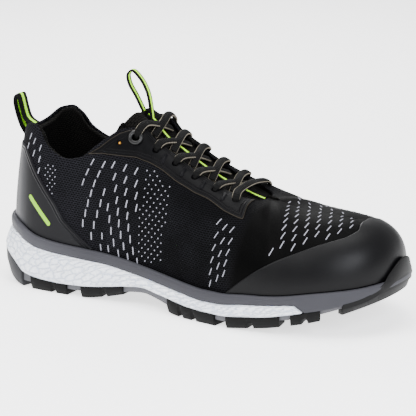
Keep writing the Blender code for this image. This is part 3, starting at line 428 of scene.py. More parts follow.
def stripe(tree, across, at, settings):
    # how far a line at a set place shows, by the distance from its middle
    gap = addNode(tree, "ShaderNodeMath", {"operation": "SUBTRACT", 1: at}, {0: across})
    off = addNode(tree, "ShaderNodeMath", {"operation": "ABSOLUTE"}, {0: gap.outputs[0]})
    return addNode(tree, "ShaderNodeMapRange", settings, {"Value": off.outputs[0]}).outputs[0]


def heelToFront(tree, rear, front, litHeelColour, colour):
    # painted light: a colour that turns into another between two places along the shoe, lighter at the heel
    spot = addNode(tree, "ShaderNodeTexCoord")
    parts = addNode(tree, "ShaderNodeSeparateXYZ", None, {0: spot.outputs["Object"]})
    along = addNode(tree, "ShaderNodeMapRange", {"From Min": rear, "From Max": front},
                    {"Value": parts.outputs[0]})
    return ramp(tree, along.outputs[0], [(0.0, litHeelColour), (1.0, colour)])


def knitPolyester():
    # engineered knit of matt polyester yarn: staggered open cells 2.4 mm apart, with fine ribs between
    # ahead of the flex line the same knit carries a fused satin film, so the cells fade out there
    material, tree, shader = newMaterial("knitPolyester", {
        "Base Color": hexColour("#08080a"), "Roughness": 0.8, "Specular IOR Level": 0.06})
    cells = addNode(tree, "ShaderNodeTexBrick", {
        "Scale": 1.0, "Mortar Size": 0.17, "Mortar Smooth": 0.6, "Brick Width": 1.0, "Row Height": 0.62,
        "Color1": (0, 0, 0, 1), "Color2": (0, 0, 0, 1), "Mortar": (1, 1, 1, 1)},
        {"Vector": uvMillimetres(tree, (2.4, 2.4))})
    yarn = addNode(tree, "ShaderNodeTexNoise", {"Scale": 1.0, "Detail": 3.0},
                   {"Vector": objectScaled(tree, 1.2)})
    patch = addNode(tree, "ShaderNodeTexNoise", {"Scale": 1.0, "Detail": 2.0},
                    {"Vector": objectScaled(tree, 30)})
    spot = addNode(tree, "ShaderNodeTexCoord")
    parts = addNode(tree, "ShaderNodeSeparateXYZ", None, {0: spot.outputs["Object"]})
    slant = addNode(tree, "ShaderNodeMath", {"operation": "MULTIPLY_ADD", 1: -0.12},
                    {0: parts.outputs[2], 2: parts.outputs[0]})
    film = addNode(tree, "ShaderNodeMapRange", {
        "interpolation_type": "SMOOTHSTEP", "From Min": 0.138, "From Max": 0.148},
        {"Value": slant.outputs[0]})
    shade = addNode(tree, "ShaderNodeMath", {"operation": "MULTIPLY_ADD", 1: 0.55},
                    {0: cells.outputs["Color"], 2: yarn.outputs[0]})
    colour = ramp(tree, shade.outputs[0], [(0.30, "#010101"), (0.62, "#040405"), (1.0, "#18181c")])
    # painted light: towards the heel the knit is painted a little lighter, and towards the front a little
    # darker
    paintedHeelLight = addNode(tree, "ShaderNodeMapRange", {
        "From Min": 0.02, "From Max": 0.10, "To Min": 0.15, "To Max": -0.35}, {"Value": slant.outputs[0]})
    shift = addNode(tree, "ShaderNodeMath", {"operation": "ADD"}, {0: patch.outputs[0], 1: paintedHeelLight.outputs[0]})
    tone = ramp(tree, shift.outputs[0], [(0.1, "#8c8c8c"), (0.7, "#ffffff")])
    both = addNode(tree, "ShaderNodeMix", {"data_type": "RGBA", "blend_type": "MULTIPLY", 0: 1.0},
                   {6: colour, 7: tone})
    covered = addNode(tree, "ShaderNodeMix", {"data_type": "RGBA", 7: hexColour("#020202")},
                      {0: film.outputs[0], 6: both.outputs[2]})
    tree.links.new(covered.outputs[2], shader.inputs["Base Color"])
    rough = addNode(tree, "ShaderNodeMapRange", {"To Min": 0.8, "To Max": 0.48}, {"Value": film.outputs[0]})
    tree.links.new(rough.outputs[0], shader.inputs["Roughness"])
    gleam = addNode(tree, "ShaderNodeMapRange", {"To Min": 0.04, "To Max": 0.022}, {"Value": film.outputs[0]})
    tree.links.new(gleam.outputs[0], shader.inputs["Specular IOR Level"])
    depth = addNode(tree, "ShaderNodeMapRange", {"To Min": 0.9, "To Max": 0.04}, {"Value": film.outputs[0]})
    first = bumpInto(tree, shader, cells.outputs["Color"], 0.0003, 0.9)
    tree.links.new(depth.outputs[0], first.inputs["Strength"])
    bumpInto(tree, shader, yarn.outputs[0], 0.0001, 0.6, first)
    return material


def spacerMesh(name):
    # padded spacer mesh of the collar, tongue and insole: plump black cells 2.4 mm apart
    material, tree, shader = newMaterial(name, {
        "Base Color": hexColour("#080808"), "Roughness": 0.92, "Specular IOR Level": 0.07})
    cells = addNode(tree, "ShaderNodeTexBrick", {
        "Scale": 1.0, "Mortar Size": 0.22, "Mortar Smooth": 1.0, "Brick Width": 1.0, "Row Height": 0.7,
        "Color1": (1, 1, 1, 1), "Color2": (1, 1, 1, 1), "Mortar": (0, 0, 0, 1)},
        {"Vector": uvMillimetres(tree, (2.4, 2.4))})
    yarn = addNode(tree, "ShaderNodeTexNoise", {"Scale": 1.0, "Detail": 4.0},
                   {"Vector": objectScaled(tree, 0.9)})
    shade = addNode(tree, "ShaderNodeMath", {"operation": "MULTIPLY_ADD", 1: 0.6},
                    {0: cells.outputs["Color"], 2: yarn.outputs[0]})
    colour = ramp(tree, shade.outputs[0], [(0.35, "#010101"), (0.75, "#050505"), (1.0, "#100f0d")])
    tree.links.new(colour, shader.inputs["Base Color"])
    first = bumpInto(tree, shader, cells.outputs["Color"], 0.0005, 0.9)
    bumpInto(tree, shader, yarn.outputs[0], 0.0002, 0.7, first)
    return material


def mouldedFilm(name, colour, roughness):
    # polyurethane film pressed over the knit: smooth satin with a very fine grain
    material, tree, shader = newMaterial(name, {
        "Base Color": hexColour(colour), "Roughness": roughness, "Specular IOR Level": 0.06})
    grain = addNode(tree, "ShaderNodeTexNoise", {"Scale": 1.0, "Detail": 5.0},
                    {"Vector": objectScaled(tree, 0.8)})
    cloud = addNode(tree, "ShaderNodeTexNoise", {"Scale": 1.0, "Detail": 2.0},
                    {"Vector": objectScaled(tree, 26)})
    rough = addNode(tree, "ShaderNodeMapRange", {"To Min": roughness - 0.05, "To Max": roughness + 0.07},
                    {"Value": cloud.outputs[0]})
    tree.links.new(rough.outputs[0], shader.inputs["Roughness"])
    bumpInto(tree, shader, grain.outputs[0], 0.00006, 0.5)
    return material


def wovenTape(name, base, line, lineAt, lineWidth, rib):
    # flat woven tape: cross ribs, and a coloured line woven in at a distance from its middle
    material, tree, shader = newMaterial(name, {
        "Base Color": hexColour(base), "Roughness": 0.8, "Specular IOR Level": 0.09})
    uv = addNode(tree, "ShaderNodeUVMap", {"uv_map": "fabric"})
    parts = addNode(tree, "ShaderNodeSeparateXYZ", None, {0: uv.outputs[0]})
    away = addNode(tree, "ShaderNodeMath", {"operation": "ABSOLUTE"}, {0: parts.outputs[1]})
    mask = stripe(tree, away.outputs[0], lineAt, {
        "From Min": lineWidth / 2 - 0.12, "From Max": lineWidth / 2 + 0.12, "To Min": 1.0, "To Max": 0.0})
    weave = addNode(tree, "ShaderNodeTexChecker", {
        "Scale": 1.0, "Color1": (1, 1, 1, 1), "Color2": (0, 0, 0, 1)},
        {"Vector": uvMillimetres(tree, (rib, rib * 0.8))})
    waves = addNode(tree, "ShaderNodeTexWave", {"Scale": 1.0, "Distortion": 0.4, "Detail": 1.0},
                    {"Vector": uvMillimetres(tree, (rib * 6.28, 1000.0))})
    shade = addNode(tree, "ShaderNodeMapRange", {"To Min": 0.72, "To Max": 1.08},
                    {"Value": weave.outputs["Fac"]})
    colour = addNode(tree, "ShaderNodeMix", {"data_type": "RGBA", 6: hexColour(base), 7: hexColour(line)},
                     {0: mask})
    dim = addNode(tree, "ShaderNodeMix", {"data_type": "RGBA", "blend_type": "MULTIPLY", 0: 1.0},
                  {6: colour.outputs[2], 7: shade.outputs[0]})
    tree.links.new(dim.outputs[2], shader.inputs["Base Color"])
    first = bumpInto(tree, shader, waves.outputs["Fac"], 0.00025, 0.7)
    bumpInto(tree, shader, weave.outputs["Fac"], 0.00008, 0.5, first)
    return material


def mouldedRubber(name, colour, roughness, grainSize=0.7, litHeelColour=None):
    # moulded sole rubber: matt, with the fine grain of a sand-blasted mould
    material, tree, shader = newMaterial(name, {
        "Base Color": hexColour(colour), "Roughness": roughness, "Specular IOR Level": 0.11})
    grain = addNode(tree, "ShaderNodeTexNoise", {"Scale": 1.0, "Detail": 4.0},
                    {"Vector": objectScaled(tree, grainSize)})
    cloud = addNode(tree, "ShaderNodeTexNoise", {"Scale": 1.0, "Detail": 3.0},
                    {"Vector": objectScaled(tree, 18)})
    tone = addNode(tree, "ShaderNodeMapRange", {"To Min": 0.90, "To Max": 1.08}, {"Value": cloud.outputs[0]})
    dim = addNode(tree, "ShaderNodeMix", {
        "data_type": "RGBA", "blend_type": "MULTIPLY", 0: 1.0, 6: hexColour(colour)}, {7: tone.outputs[0]})
    # painted light: the rubber turns lighter towards the heel
    if litHeelColour:
        tree.links.new(heelToFront(tree, -0.05, 0.03, litHeelColour, colour), dim.inputs[6])
    tree.links.new(dim.outputs[2], shader.inputs["Base Color"])
    bumpInto(tree, shader, grain.outputs[0], 0.0001, 0.6)
    return material


def expandedFoam():
    # expanded bead foam: white beads of 5 to 6 mm pressed together, their seams a little darker
    material, tree, shader = newMaterial("expandedFoam", {
        "Base Color": hexColour("#e6eaf0"), "Roughness": 0.5, "Specular IOR Level": 0.35,
        "Subsurface Weight": 0.08, "Subsurface Radius": (0.004, 0.004, 0.005), "Subsurface Scale": 1.0})
    sway = addNode(tree, "ShaderNodeTexNoise", {"Scale": 1.0, "Detail": 2.0},
                   {"Vector": objectScaled(tree, 6.0)})
    moved = addNode(tree, "ShaderNodeVectorMath", {"operation": "MULTIPLY_ADD", 1: (0.25, 0.25, 0.25)},
                    {0: sway.outputs["Color"], 2: uvMillimetres(tree, (6.4, 5.0))})
    beads = addNode(tree, "ShaderNodeTexVoronoi", {
        "voronoi_dimensions": "2D", "feature": "DISTANCE_TO_EDGE", "Scale": 1.0, "Randomness": 0.8},
        {"Vector": moved.outputs[0]})
    seam = addNode(tree, "ShaderNodeMapRange", {
        "interpolation_type": "SMOOTHSTEP", "From Min": 0.0, "From Max": 0.22},
        {"Value": beads.outputs["Distance"]})
    skin = addNode(tree, "ShaderNodeTexNoise", {"Scale": 1.0, "Detail": 4.0},
                   {"Vector": objectScaled(tree, 1.6)})
    tone = ramp(tree, skin.outputs[0], [(0.3, "#d4dae4"), (0.65, "#eef1f6")])
    shade = ramp(tree, seam.outputs[0], [(0.0, "#d3d9e4"), (0.5, "#ffffff")])
    both = addNode(tree, "ShaderNodeMix", {"data_type": "RGBA", "blend_type": "MULTIPLY", 0: 1.0},
                   {6: tone, 7: shade})
    tree.links.new(both.outputs[2], shader.inputs["Base Color"])
    first = bumpInto(tree, shader, seam.outputs[0], 0.0009, 0.8)
    bumpInto(tree, shader, skin.outputs[0], 0.00012, 0.5, first)
    return material


knit = knitPolyester()
lining = spacerMesh("spacerMesh")
insoleFabric = spacerMesh("insoleFabric")
laceCord = wovenTape("laceCord", "#050505", "#857e70", 2.62, 0.24, 0.9)
loopWebbing = wovenTape("loopWebbing", "#040404", "#aef02c", 0.0, 1.9, 0.7)
heelWebbing = wovenTape("heelWebbing", "#040404", "#a4e628", 0.0, 2.9, 0.8)
ringGloss, _tree, _shader = newMaterial("ringGloss", {     # polished black nylon eyelet
    "Base Color": hexColour("#060606"), "Roughness": 0.34, "Specular IOR Level": 0.3})
# the rand's lighter colour at the heel is painted light
randRubber = mouldedRubber("randRubber", "#323236", 0.55, 0.7, "#434347")
foamWhite = expandedFoam()
treadRubber = mouldedRubber("treadRubber", "#040404", 0.6)
heelRubber = mouldedRubber("heelRubber", "#2a2a2c", 0.55)
shankRubber = mouldedRubber("shankRubber", "#525255", 0.6)
bumperRubber = mouldedRubber("bumperRubber", "#0e0e0e", 0.55)
yarnGrey, _tree, _shader = newMaterial("yarnGrey", {       # light grey float yarn with a slight gleam
    "Base Color": hexColour("#76767f"), "Roughness": 0.5, "Specular IOR Level": 0.5})
limePrint, _tree, _shader = newMaterial("limePrint", {     # flat printed polyurethane ink
    "Base Color": hexColour("#7cb606"), "Roughness": 0.5, "Specular IOR Level": 0.3})
amberPlug, _tree, _shader = newMaterial("amberPlug", {     # smooth amber plastic in the small punched hole
    "Base Color": hexColour("#c98a1e"), "Roughness": 0.45})
print("materials made")


# The upper: one shell with a rounded, padded collar

creaseLines = (   # side, start and end in the side view, width and depth, in millimetres
    (0, (4, 84), (40, 103), 7.0, -0.8),
    (0, (10, 74), (46, 92), 9.0, 0.5),
    (-1, (128, 84), (150, 46), 7.0, -0.5),
    (-1, (138, 80), (160, 44), 6.0, 0.4),
    (0, (150, 74), (172, 42), 8.0, -0.6),
    (0, (-12, 100), (-2, 78), 6.0, -0.5),
)


def creased(points, normals):
    # soft troughs and ridges laid across the sides of the upper
    move = np.zeros(points.shape[:-1])
    for side, start, end, width, depth in creaseLines:
        a = np.array(start) / 1000
        way = np.array(end) / 1000 - a
        flat = points[..., [0, 2]] - a
        at = np.clip((flat @ way) / (way @ way), 0, 1)
        off = np.linalg.norm(flat - at[..., None] * way, axis=-1) * 1000
        fade = np.exp(-(off / width) ** 2) * np.sin(math.pi * np.clip(at, 0.04, 0.96))
        if side:
            fade = fade * (np.sign(points[..., 1]) == side)
        move += fade * depth / 1000
    return points + normals * move[..., None]


def facePoints(p, row):
    # creased outer face of the upper with its normals
    normals = upperNormal(p, row)
    return creased(upperPoint(p, row), normals), normals


throatPlace = placeOf(last["throatEnd"])
halfColumns = np.unique(np.concatenate([
    np.linspace(0, 1, 251), throatPlace - np.array([0, 0.0008, 0.002, 0.004])]))
allColumns = np.concatenate([-halfColumns[:0:-1], halfColumns])
allRows = np.concatenate([[-1.0, -0.5], np.linspace(0, 0.90, 44),
                          1 - 0.10 * (1 - np.sin(np.linspace(0, math.pi / 2, 15)[1:]))])


def wallOf(p, row):
    share, _side = around(p)
    padded = ease(row, 0.45, 0.90) * (1 - ease(share, 0.285, 0.355))
    return last["wall"] + (last["pad"] - last["wall"]) * padded


def buildUpper():
    p, row = np.meshgrid(allColumns, allRows)
    face, normal = facePoints(p, row)
    thick = wallOf(p, row)
    left = np.concatenate([np.cumsum(np.linalg.norm(np.diff(face[::-1], axis=0), axis=2), axis=0)[::-1],
                           np.zeros((1, face.shape[1]))])
    radius = np.where(np.abs(allColumns) < throatPlace - 1e-6, thick[-1] / 2, 0.0)[None, :]
    near = np.clip(1 - left / np.maximum(radius, 1e-9), 0, 1)
    inset = radius * (1 - np.sqrt(1 - near ** 2))
    outer = face - normal * inset[..., None]
    inner = face - normal * (thick - inset)[..., None]
    middle = np.argmin(np.abs(allRows - 0.4))
    u = np.concatenate([[0], np.cumsum(np.linalg.norm(np.diff(face[middle], axis=0), axis=1))]) * 1000
    v = (left.max(axis=0)[None, :] - left) * 1000
    uv = np.stack(np.broadcast_arrays(u[None, :], v), axis=-1)
    base = np.stack([outer[0], inner[0]])
    baseUv = np.stack([uv[0], uv[0]])
    shell = meshFromSheets("upperShell", [(outer, uv, 0), (inner, uv, 1), (base, baseUv, 0)], [knit, lining])
    shape = bmesh.new()
    shape.from_mesh(shell.data)
    edges = [edge for edge in shape.edges if edge.is_boundary]
    bmesh.ops.holes_fill(shape, edges=edges, sides=0)
    bmesh.ops.recalc_face_normals(shape, faces=shape.faces)
    shape.to_mesh(shell.data)
    shape.free()
    return ridePiece(shell, "knit", "upper")


upperShell = buildUpper()
print("upper made", len(upperShell.data.polygons))


# Sheets pressed over the upper

def insideOutline(x, z, edgeX, edgeZ):
    inside = np.zeros(x.shape, bool)
    for i in range(len(edgeX)):
        j = (i + 1) % len(edgeX)
        if edgeZ[i] == edgeZ[j]:
            continue
        crosses = (edgeZ[i] > z) != (edgeZ[j] > z)
        inside ^= crosses & (x < (edgeX[j] - edgeX[i]) * (z - edgeZ[i]) / (edgeZ[j] - edgeZ[i]) + edgeX[i])
    return inside


def sheetRuns(columns, rows, edgeX, edgeZ):
    # for each column, the rows that lie inside the sheet's outline in the side view
    p, row = np.meshgrid(columns, rows)
    points = upperPoint(p, row)
    inside = insideOutline(points[..., 0], points[..., 2], edgeX, edgeZ)
    found = inside.any(axis=0)
    low = rows[np.argmax(inside, axis=0)]
    high = rows[len(rows) - 1 - np.argmax(inside[::-1], axis=0)]
    return found, low, high


def softened(values, reach):
    kernel = np.hanning(2 * reach + 3)[1:-1]
    kernel /= kernel.sum()
    before = 2 * values[0] - values[reach:0:-1]
    after = 2 * values[-1] - values[-2:-reach - 2:-1]
    padded = np.concatenate([before, values, after])
    return np.convolve(padded, kernel, mode="valid")


def filmSheet(name, columns, rows, outline, unit, material, thick, openFoot, count=260, across=40, soften=5):
    # an even sheet with rounded edges; its uv is (run along, distance from the edge) in millimetres
    edgeX = (np.array(outline["share"]) - last["origin"]) * last["length"]
    edgeZ = np.array(outline["height"]) * unit
    found, low, high = sheetRuns(columns, rows, edgeX, edgeZ)
    keep = np.flatnonzero(found)
    start, end = keep[0], keep[-1]
    low, high = low[start:end + 1], high[start:end + 1]
    columns = columns[start:end + 1]
    at = np.linspace(columns[0], columns[-1], count)
    low = np.interp(at, columns, softened(low, soften))
    high = np.maximum(np.interp(at, columns, softened(high, soften)), low + 1e-4)
    high = np.minimum(high, rows[-1])
    for end in (0, -1):
        middle = (low[end] + high[end]) / 2
        low[end], high[end] = middle - 1e-4, middle + 1e-4
    ends = upperPoint(at, low), upperPoint(at, high)
    tall = np.maximum(np.linalg.norm(ends[1] - ends[0], axis=1) * 1000, 1e-3)
    close = np.array([0.0, 0.10, 0.30, 0.55, 0.85])
    parts = []
    for height in tall:
        rim = close / max(height, 3.4)
        start = 1.2 / max(height, 3.4)
        parts.append(np.concatenate([rim, np.linspace(start, 1 - start, across), 1 - rim[::-1]]))
    parts = np.array(parts).T
    row = low + (high - low) * parts
    p = np.broadcast_to(at, row.shape)
    face, normal = facePoints(p, row)
    border = KDTree(2 * len(at))
    for i in range(len(at)):
        border.insert(face[-1, i] * 1000, i)
        if not openFoot:
            border.insert(face[0, i] * 1000, i)
    border.balance()
    away = np.array([[border.find(point * 1000)[2] for point in line] for line in face])
    along, _up = gridLengths(face)
    middle = along[len(along) // 2]
    uv = np.stack(np.broadcast_arrays(middle[None, :], away), axis=-1)
    part = np.clip(away / 0.9, 0, 1)
    rise = thick * np.sqrt(np.clip(1 - (1 - part) ** 2, 0, 1))
    rise[:, 0] = rise[:, -1] = 0
    if openFoot:
        rise[0] = 0
    outer = face + normal * (rise - 0.0002)[..., None]
    inner = face - normal * 0.0002
    return meshFromSheets(name, [(outer, uv, 0), (inner, uv, 0)], [material], weld=1e-6, angle=60)


def edgedFilm(name, colour, roughness, lines, tan=None, litHeelColour=None, gleam=0.11):
    # moulded film with lines embossed at set distances from its edge
    material, tree, shader = newMaterial(name, {
        "Base Color": hexColour(colour), "Roughness": roughness, "Specular IOR Level": gleam})
    uv = addNode(tree, "ShaderNodeUVMap", {"uv_map": "fabric"})
    parts = addNode(tree, "ShaderNodeSeparateXYZ", None, {0: uv.outputs[0]})
    total = None
    for at, width, height in lines:
        line = stripe(tree, parts.outputs[1], at, {
            "interpolation_type": "SMOOTHSTEP", "From Min": 0.0, "From Max": width,
            "To Min": height, "To Max": 0.0})
        if total is None:
            total = line
        else:
            total = addNode(tree, "ShaderNodeMath", {"operation": "ADD"}, {0: total, 1: line}).outputs[0]
    cloud = addNode(tree, "ShaderNodeTexNoise", {"Scale": 1.0, "Detail": 2.0},
                    {"Vector": objectScaled(tree, 22)})
    rough = addNode(tree, "ShaderNodeMapRange", {"To Min": roughness - 0.06, "To Max": roughness + 0.08},
                    {"Value": cloud.outputs[0]})
    tree.links.new(rough.outputs[0], shader.inputs["Roughness"])
    grain = addNode(tree, "ShaderNodeTexNoise", {"Scale": 1.0, "Detail": 5.0},
                    {"Vector": objectScaled(tree, 0.8)})
    if tan:
        at, width, tint = tan
        mask = stripe(tree, parts.outputs[1], at, {
            "From Min": 0.0, "From Max": width, "To Min": 0.6, "To Max": 0.0})
        both = addNode(tree, "ShaderNodeMix", {"data_type": "RGBA", 6: hexColour(colour), 7: hexColour(tint)},
                       {0: mask})
        tree.links.new(both.outputs[2], shader.inputs["Base Color"])
    # painted sheen: the colour turns lighter towards the back of the heel
    if litHeelColour:
        tree.links.new(heelToFront(tree, -0.050, -0.018, litHeelColour, colour), shader.inputs["Base Color"])
    if total is not None:
        first = bumpInto(tree, shader, total, 0.0006, 1.0)
        bumpInto(tree, shader, grain.outputs[0], 0.00006, 0.5, first)
    else:
        bumpInto(tree, shader, grain.outputs[0], 0.00006, 0.5)
    return material


counterEdge = {
    "share":  (-0.05, 0.095, 0.118, 0.137, 0.163, 0.191, 0.214, 0.250, 0.304, 0.304, -0.05),
    "height": (0.830, 0.830, 0.756, 0.688, 0.609, 0.531, 0.444, 0.375, 0.278, 0.000, 0.000),
}
capEdge = {
    "share":  (0.650, 0.693, 0.731, 0.770, 0.801, 0.848, 0.875, 0.900, 0.914, 0.905, 0.885, 1.050, 1.050),
    "height": (0.310, 0.462, 0.582, 0.678, 0.735, 0.815, 0.850, 0.878, 0.915, 0.950, 1.150, 1.150, 0.000),
}
stayEdge = {
    "share":  (0.268, 0.304, 0.328, 0.350, 0.370, 0.388, 0.400, 0.660, 0.656, 0.664,
               0.677, 0.660, 0.622, 0.578, 0.544, 0.497, 0.462, 0.426, 0.395, 0.340, 0.310),
    "height": (0.832, 0.885, 0.935, 0.973, 0.990, 0.990, 1.200, 1.200, 0.700, 0.650,
               0.583, 0.592, 0.620, 0.668, 0.692, 0.740, 0.787, 0.824, 0.845, 0.848, 0.848),
}
# lines are (distance from the edge, width, height) in millimetres, tan is (distance, width, colour)
# the counter's lighter colour towards the back of the heel is a painted sheen
counterFinish = edgedFilm("counterFilm", "#08080b", 0.40, [(1.4, 0.9, 0.7), (3.4, 0.9, 0.7)],
                          litHeelColour="#34343b")
capFinish = edgedFilm("capFilm", "#040405", 0.42, [], gleam=0.13)
stayFinish = edgedFilm("stayFilm", "#040405", 0.44, [(2.4, 0.5, 0.5), (4.2, 0.5, 0.5)],
                       tan=(0.5, 0.3, "#3c362c"), gleam=0.05)
ribFilm = mouldedFilm("ribFilm", "#070709", 0.42)

rowScan = np.linspace(0, 1, 501)
counterSpan = np.linspace(-placeOf(0.33), placeOf(0.33), 401)
heelCounter = filmSheet("heelCounter", counterSpan, rowScan[:496], counterEdge, last["collarHeight"],
                        counterFinish, 0.0010, True, 300, 48)
ridePiece(heelCounter, "film", "heel_counter")
capSpan = np.linspace(placeOf(0.62), 2 - placeOf(0.62), 401)
toeCap = filmSheet("toeCap", capSpan, rowScan[:484], capEdge, last["toeHeight"],
                   capFinish, 0.0008, True, 300, 48)
ridePiece(toeCap, "film", "toe_cap")
stays = []
for word, turn in (("lateral", 1), ("medial", -1)):
    staySpan = turn * np.linspace(placeOf(0.24), placeOf(0.7649), 401)
    stay = filmSheet("eyestay" + word.capitalize(), staySpan, rowScan[200:], stayEdge, last["collarHeight"],
                     stayFinish, 0.0010, False, 300, 36)
    ridePiece(stay, "film", "eyestay_" + word)
    stays.append(stay)
print("film sheets made")


def faceTree(piece):
    return BVHTree.FromObject(piece, bpy.context.evaluated_depsgraph_get())


def sideHit(tree, x, z, side):
    # where a line from one side of the shoe meets a piece, and the way out there
    spot, normal, _index, _far = tree.ray_cast(Vector((x, side * 0.2, z)), Vector((0, -side, 0)))
    return spot, normal


def pieceFromShape(name, shape, finish):
    mesh = bpy.data.meshes.new(name)
    bmesh.ops.recalc_face_normals(shape, faces=shape.faces)
    shape.to_mesh(mesh)
    shape.free()
    mesh.materials.append(finish)
    mesh.shade_smooth()
    piece = bpy.data.objects.new(name, mesh)
    bpy.context.scene.collection.objects.link(piece)
    return piece


def floatMark(shape, tree, centre, normal, way, length, width, thick):
    # a small rounded mark that follows the face under it
    across = normal.cross(way).normalized()
    way = across.cross(normal).normalized()
    outlinePoints = []
    for turn in range(12):
        angle = 2 * math.pi * (turn + 0.5) / 12
        along = math.copysign(max(length - width, 0) / 2, math.cos(angle)) + width / 2 * math.cos(angle)
        outlinePoints.append((along, width / 2 * math.sin(angle)))
    low, high = [], []
    for along, off in outlinePoints:
        spot, face, _index, _far = tree.find_nearest(centre + way * along + across * off)
        low.append(shape.verts.new(spot - face * 0.0002))
        spot, face, _index, _far = tree.find_nearest(centre + way * along * 0.93 + across * off * 0.55)
        high.append(shape.verts.new(spot + face * thick))
    for i in range(12):
        j = (i + 1) % 12
        shape.faces.new((low[i], low[j], high[j], high[i]))
    shape.faces.new(high)
    shape.faces.new(low[::-1])


# Eyelets

eyelets = {"count": 6, "start": 0.393, "pitch": 0.0165, "inset": 0.0095, "bore": 0.0046,
           "ringPath": 0.00365, "ringWire": 0.00135, "ringLift": 0.0014}


def eyeletRow(side):
    # places, normals, shares and rows of one row of eyelets, the same way in from the throat's edge
    shares = np.linspace(eyelets["start"], last["throatEnd"] - 0.02, 90)
    places = -side * np.array([placeOf(share) for share in shares])
    rows = np.linspace(0.5, 1.0, 81)
    p, row = np.meshgrid(places, rows)
    grid = upperPoint(p, row)
    steps = np.linalg.norm(np.diff(grid[::-1], axis=0), axis=2)
    inset = np.concatenate([np.zeros((1, len(shares))), np.cumsum(steps, axis=0)])
    at = np.array([np.interp(eyelets["inset"], inset[:, i], rows[::-1]) for i in range(len(shares))])
    line = upperPoint(places, at)
    run = np.concatenate([[0], np.cumsum(np.linalg.norm(np.diff(line, axis=0), axis=1))])
    made = []
    for k in range(eyelets["count"]):
        share = float(np.interp(eyelets["pitch"] * k, run, shares))
        rowAt = float(np.interp(share, shares, at))
        place, normal = facePoints(-side * placeOf(share), rowAt)
        made.append((place, normal, share, rowAt))
    return made


def surfacePoint(share, side, row, climb):
    place, normal = facePoints(-side * placeOf(share), row)
    return place + normal * climb, normal


def turnTo(normal):
    return Vector(normal).to_track_quat("Z", "Y").to_euler()


nearEyelets = eyeletRow(-1.0)
farEyelets = eyeletRow(1.0)


def eyeletHoles():
    tools = []
    for place, normal, _share, _row in nearEyelets + farEyelets:
        bpy.ops.mesh.primitive_cylinder_add(vertices=28, radius=eyelets["bore"] / 2, depth=0.009,
                                            location=Vector(place), rotation=turnTo(normal))
        tools.append(bpy.context.object)
    spot, normal = punchedHole
    bpy.ops.mesh.primitive_cylinder_add(vertices=24, radius=0.0019, depth=0.0030,
                                        location=Vector(spot), rotation=turnTo(normal))
    tools.append(bpy.context.object)
    bpy.ops.object.select_all(action="DESELECT")
    for tool in tools:
        tool.select_set(True)
    bpy.context.view_layer.objects.active = tools[0]
    bpy.ops.object.join()
    tools[0].name = "eyeletHoles"
    return tools[0]


def applyModifier(piece, kind, settings):
    step = piece.modifiers.new(kind, kind)
    for key, value in settings.items():
        setattr(step, key, value)
    bpy.ops.object.select_all(action="DESELECT")
    piece.select_set(True)
    bpy.context.view_layer.objects.active = piece
    bpy.ops.object.modifier_apply(modifier=step.name)


punchedHole = sideHit(faceTree(stays[0]), 0.0543, 0.1097, -1)
holes = eyeletHoles()
for piece in [upperShell] + stays:
    applyModifier(piece, "BOOLEAN", {"operation": "DIFFERENCE", "object": holes, "solver": "EXACT"})
bpy.data.objects.remove(holes)
for word, eyelet in (("lateral", nearEyelets[0]), ("medial", farEyelets[0])):
    place, normal = eyelet[0], eyelet[1]
    bpy.ops.mesh.primitive_torus_add(major_segments=56, minor_segments=18, major_radius=eyelets["ringPath"],
                                     minor_radius=eyelets["ringWire"], rotation=turnTo(normal),
                                     location=Vector(place + normal * eyelets["ringLift"]))
    rim = bpy.context.object
    rim.name = "eyeletRing" + word.capitalize()
    bpy.ops.object.transform_apply(location=True, rotation=True, scale=True)
    bpy.ops.object.shade_smooth()
    rim.data.materials.append(ringGloss)
    ridePiece(rim, "black_gloss", "eyelet_ring_" + word)


def smallMarks(name, marks, onto, finish, thick):
    # rounded marks that follow the faces of a piece: place, way, length and width of each
    tree = faceTree(onto)
    shape = bmesh.new()
    for place, way, length, width in marks:
        spot, normal, _index, _far = tree.find_nearest(Vector(place))
        floatMark(shape, tree, spot, normal, Vector(way), length, width, thick)
    return pieceFromShape(name, shape, finish)


for word, row, stay in (("Lateral", nearEyelets, stays[0]), ("Medial", farEyelets, stays[1])):
    marks = []
    for k in (1, 2, 3, 4):
        between = (row[k][0] + row[k + 1][0]) / 2
        normal = (row[k][1] + row[k + 1][1]) / 2
        ahead = row[k + 1][0] - row[k][0]
        up = np.cross(normal, ahead) * (1 if word == "Lateral" else -1)
        up /= np.linalg.norm(up)
        if up[2] < 0:
            up = -up
        place = between + normal * 0.002 - up * 0.0015
        marks.append((place, up + ahead / np.linalg.norm(ahead) * -0.25, 0.0088, 0.0036))
    ribs = smallMarks("stayRibs" + word, marks, stay, ribFilm, 0.0005)
    ridePiece(ribs, "film")


printedBar = {"start": (-0.0167, -0.0335, 0.0655), "end": (0.0018, -0.0374, 0.0470), "half": 0.0016}


def borderOf(grid):
    # the points round the edge of a grid
    return np.concatenate([grid[0], grid[1:, -1], grid[-1][::-1][1:], grid[::-1][1:, 0]])


